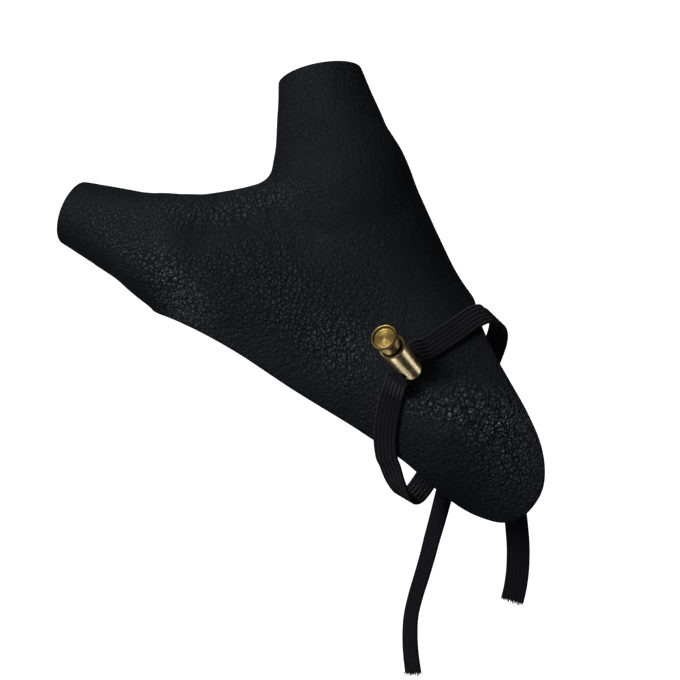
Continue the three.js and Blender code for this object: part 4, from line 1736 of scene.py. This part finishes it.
@dataclass
class CordLock:
    """The brass cord lock: a round-footed barrel and a sprung plunger with a dished head."""

    form: HandForm
    seat: LockSeat
    wardrobe: Wardrobe
    barrel_length: float = 17.4
    mouth_radius: float = 4.4
    wall: float = 0.7
    counterbore: float = 4.9
    press_travel: float = 2.0
    neck_length: float = 5.4
    neck_inside: float = 2.5
    head_radius: float = 4.5
    head_thickness: float = 1.8
    head_dish: float = 0.45
    head_rim: float = 0.62
    dish_rings: int = 25
    ripple: tuple[float, float] = (0.035, 0.62)
    boss: tuple[float, float] = (0.12, 0.9)
    hole_rounding: float = 0.5
    sharp: float = 32.0
    around: int = 96

    def lathe(self, profile: Sequence[tuple[float, float]]) -> Shape:
        """Turn a profile round the lock's axis.

        Args:
            profile: Radius and height of each point, from the foot up and back down inside.

        Returns:
            The closed shape in the lock's frame.
        """
        rows = np.array(profile, float)
        angle = np.linspace(0, 2 * math.pi, self.around, endpoint=False)
        points: list[Array] = []
        starts: list[tuple[int, bool]] = []
        for radius, height in rows:
            on_axis = radius < 1e-6
            starts.append((sum(len(p) for p in points), on_axis))
            turns = np.zeros(1) if on_axis else angle
            level = np.full(len(turns), height)
            points.append(np.stack([radius * np.cos(turns), level, radius * np.sin(turns)], axis=1))
        faces: list[tuple[int, ...]] = []
        for (here, pole_here), (there, pole_there) in zip(starts, starts[1:]):
            for s in range(self.around):
                after = (s + 1) % self.around
                if pole_here and pole_there:
                    continue
                if pole_here:
                    faces.append((here, there + s, there + after))
                elif pole_there:
                    faces.append((here + s, there, here + after))
                else:
                    faces.append((here + s, there + s, there + after, here + after))
        return Shape(np.vstack(points), faces)

    @staticmethod
    def arc(
        radius: float, middle: float, start: float, end: float, pieces: int = 14
    ) -> list[tuple[float, float]]:
        """Points on an arc of a profile.

        Args:
            radius: Radius of the arc.
            middle: Height of its middle, which lies on the axis.
            start: First angle in degrees.
            end: Last angle in degrees.
            pieces: Steps along it.

        Returns:
            Radius and height of each point.
        """
        angles = np.radians(np.linspace(start, end, pieces + 1))
        return [(max(radius * math.cos(a), 0.0), middle + radius * math.sin(a)) for a in angles]

    def drilled(self, piece: bpy.types.Object, travel: float = 0.0) -> None:
        """Cut the cord hole through a turned piece.

        Args:
            piece: The piece.
            travel: How much higher than the cord the hole is, for a piece that moves.
        """
        clear = self.seat.clearance
        half_height = (WristBand.bunched_thickness + 2 * clear) / 2
        low, high = self.seat.hole_height - half_height, self.seat.hole_height + half_height + travel
        half = (WristBand.bunched_width + 2 * clear) / 2
        reach = 2 * self.mouth_radius
        box = np.array([[x, y, z] for x in (-half, half) for y in (low, high) for z in (-reach, reach)])
        faces = [(0, 1, 3, 2), (4, 6, 7, 5), (0, 4, 5, 1), (2, 3, 7, 6), (0, 2, 6, 4), (1, 5, 7, 3)]
        tool = Shape(self.form.to_cad(self.seat.to_hand(box)), faces).piece("hole_cutter", [])
        bevel = tool.modifiers.new("soft", "BEVEL")
        bevel.width = self.hole_rounding * MM
        bevel.segments = 4
        cut = piece.modifiers.new("hole", "BOOLEAN")
        cut.operation = "DIFFERENCE"
        cut.object = tool
        cut.solver = "EXACT"
        bpy.context.view_layer.update()
        done = bpy.data.meshes.new_from_object(piece.evaluated_get(bpy.context.evaluated_depsgraph_get()))
        piece.modifiers.clear()
        piece.data = done
        bpy.data.objects.remove(tool)
        done.shade_smooth()
        done.set_sharp_from_angle(angle=math.radians(self.sharp))

    def turned(self, name: str, profile: Sequence[tuple[float, float]], finish: Finish) -> bpy.types.Object:
        """Make a turned piece in its place.

        Args:
            name: Name of the piece.
            profile: Its profile.
            finish: Its finish.

        Returns:
            The piece.
        """
        shape = self.lathe(profile)
        shape.points = self.form.to_cad(self.seat.to_hand(shape.points))
        piece = shape.piece(name, [self.wardrobe.get(finish)], self.sharp)
        mesh = bmesh.new()
        mesh.from_mesh(piece.data)
        bmesh.ops.recalc_face_normals(mesh, faces=mesh.faces)
        mesh.to_mesh(piece.data)
        mesh.free()
        return piece

    def barrel(self) -> bpy.types.Object:
        """Build the barrel.

        Returns:
            The piece.
        """
        clear = self.seat.clearance
        bore = self.mouth_radius - self.wall
        stem_bore = self.seat.foot_radius - self.wall
        step = self.barrel_length - self.counterbore
        top = self.barrel_length
        profile = [
            *self.arc(self.seat.foot_radius, 0, -90, 0),
            (self.mouth_radius - 0.02, top - 1.0),
            (self.mouth_radius, top - 0.35),
            (self.mouth_radius - 0.1, top - 0.1),
            (self.mouth_radius - 0.25, top),
            (bore + 0.2, top),
            (bore + 0.06, top - 0.06),
            (bore, top - 0.25),
            (bore, step),
            (stem_bore, step),
            *self.arc(stem_bore, clear, 0, -90),
        ]
        piece = self.turned("lock_barrel_brass", profile, Finish.BARREL)
        self.drilled(piece)
        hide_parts("lock_barrel")
        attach(piece, "glove")
        LOG.info("lock barrel built")
        return piece

    def plunger(self) -> bpy.types.Object:
        """Build the plunger with its turned head.

        Returns:
            The piece.
        """
        clear = self.seat.clearance
        stem = self.seat.foot_radius - self.wall - clear
        neck = self.mouth_radius - self.wall - clear
        neck_foot = self.barrel_length - self.neck_inside
        under = self.barrel_length + self.neck_length
        face = under + self.head_thickness
        rim = self.head_radius - self.head_rim
        floor = face - self.head_dish
        profile = [
            *self.arc(stem, clear + self.press_travel, -90, 0),
            (stem, neck_foot),
            (neck, neck_foot),
            (neck, under - 0.25),
            (neck + 0.08, under - 0.08),
            (neck + 0.25, under),
            (self.head_radius - 0.3, under),
            (self.head_radius - 0.1, under + 0.08),
            (self.head_radius, under + 0.3),
            (self.head_radius, face - 0.3),
            (self.head_radius - 0.08, face - 0.1),
            (self.head_radius - 0.26, face),
            (rim + 0.08, face - 0.02),
            (rim - 0.12, face - 0.16),
            (rim - 0.4, floor - 0.05),
        ]
        ripple_height, ripple_pitch = self.ripple
        boss_height, boss_radius = self.boss
        for k in range(1, self.dish_rings + 1):
            radius = (rim - 0.5) * (1 - k / self.dish_rings)
            ripple = ripple_height * math.cos(2 * math.pi * radius / ripple_pitch)
            boss = boss_height * math.exp(-((radius / boss_radius) ** 2))
            profile.append((max(radius, 0.0), floor - 0.05 + ripple + boss + 0.05 * radius / rim))
        piece = self.turned("lock_plunger_brass", profile, Finish.HEAD)
        self.drilled(piece, self.press_travel)
        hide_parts("lock_plunger")
        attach(piece, "plunger")
        LOG.info("lock plunger built")
        return piece


@dataclass
class Studio:
    """Camera, soft lights and a bowl of white paper."""

    wardrobe: Wardrobe
    frame_width: float = 0.2244
    aim: tuple[float, float, float] = (-0.0383, 0.0, 0.0244)
    distance: float = 1.5
    sensor: float = 36.0
    floor: float = -0.8
    bowl: float = 3.2
    bend: float = 0.8
    bend_steps: int = 12
    ambient: float = 0.06

    def camera(self) -> None:
        """Set the camera square to the back of the hand."""
        data = bpy.data.cameras.new("camera")
        data.sensor_width = self.sensor
        data.lens = self.sensor * self.distance / self.frame_width
        data.clip_end = 20.0
        camera = bpy.data.objects.new("camera", data)
        camera.location = (self.aim[0], -self.distance, self.aim[2])
        camera.rotation_euler = (math.radians(90.0), 0.0, 0.0)
        bpy.context.scene.collection.objects.link(camera)
        bpy.context.scene.camera = camera

    def lamp(
        self,
        name: str,
        at: Sequence[float],
        size: tuple[float, float],
        power: float,
        only: Sequence[bpy.types.Object] = (),
    ) -> None:
        """Hang a soft rectangular light that faces the glove.

        Args:
            name: Name of the light.
            at: Where it hangs.
            size: Its width and height.
            power: Its power in watts.
            only: The pieces that it lights and that shade it, or none for all.
        """
        data = bpy.data.lights.new(name, "AREA")
        data.shape = "RECTANGLE"
        data.size, data.size_y = size
        data.energy = power
        light = bpy.data.objects.new(name, data)
        light.location = at
        light.rotation_euler = (Vector(at) - Vector(self.aim)).to_track_quat("Z", "Y").to_euler()
        bpy.context.scene.collection.objects.link(light)
        if only:
            lit = bpy.data.collections.new(name + "_lights")
            for piece in only:
                lit.objects.link(piece)
            light.light_linking.receiver_collection = lit
            light.light_linking.blocker_collection = lit

    def lights(self, brass: Sequence[bpy.types.Object]) -> None:
        """Light the scene.

        Args:
            brass: The pieces that get streaks of their own.
        """
        world = bpy.data.worlds.new("studio")
        world.use_nodes = True
        background = world.node_tree.nodes["Background"]
        background.inputs["Color"].default_value = (1.0, 1.0, 1.0, 1.0)
        background.inputs["Strength"].default_value = self.ambient
        bpy.context.scene.world = world
        bpy.context.scene.view_settings.view_transform = "Standard"
        self.lamp("key", (-0.6, -0.75, 0.36), (0.3, 0.3), 6.0)
        self.lamp("top", (-0.2, -0.2, 0.8), (0.4, 0.3), 1.0)
        self.lamp("front", (-0.3, -1.2, 0.05), (0.4, 0.4), 0.8)
        self.lamp("back", (-0.1, 1.3, 0.1), (0.5, 0.5), 6.0)
        self.lamp("low_streak", (0.03, 0.39, -0.55), (0.16, 0.16), 0.9, brass)
        self.lamp("side_streak", (0.52, 0.36, -0.19), (0.08, 0.14), 0.55, brass)

    def sweep(self) -> None:
        """Stand the glove in a wide bowl of white paper, which no view from any side looks past."""
        profile = [(self.bowl - self.bend, self.floor)]
        for k in range(1, self.bend_steps + 1):
            angle = math.pi / 2 * k / self.bend_steps
            outward = self.bowl - self.bend + self.bend * math.sin(angle)
            profile.append((outward, self.floor + self.bend - self.bend * math.cos(angle)))
        profile.append((self.bowl, self.bowl))
        turn = np.linspace(0, 2 * math.pi, 96, endpoint=False)
        sections = np.array([[(r * math.cos(t), r * math.sin(t), z) for t in turn] for r, z in profile])
        skin = Shape(sections.reshape(-1, 3) / MM, rings(sections))
        paper = skin.piece("paper_bowl", [self.wardrobe.get(Finish.PAPER)])
        paper.visible_glossy = False
        paper.visible_diffuse = False
        paper.visible_shadow = False


def main() -> None:
    """Build every piece of the glove in order."""
    logging.basicConfig(level=logging.INFO, format="%(message)s")
    wardrobe = Wardrobe()
    studio = Studio(wardrobe)
    studio.camera()
    form = HandForm()
    seat = LockSeat(form)
    leather = Leather(form, wardrobe)
    band = WristBand(form, leather, seat, wardrobe)
    band.tails()
    band.loop()
    band.knot()
    leather.build()
    lock = CordLock(form, seat, wardrobe)
    studio.lights([lock.barrel(), lock.plunger()])
    studio.sweep()


if __name__ == "__main__":
    main()
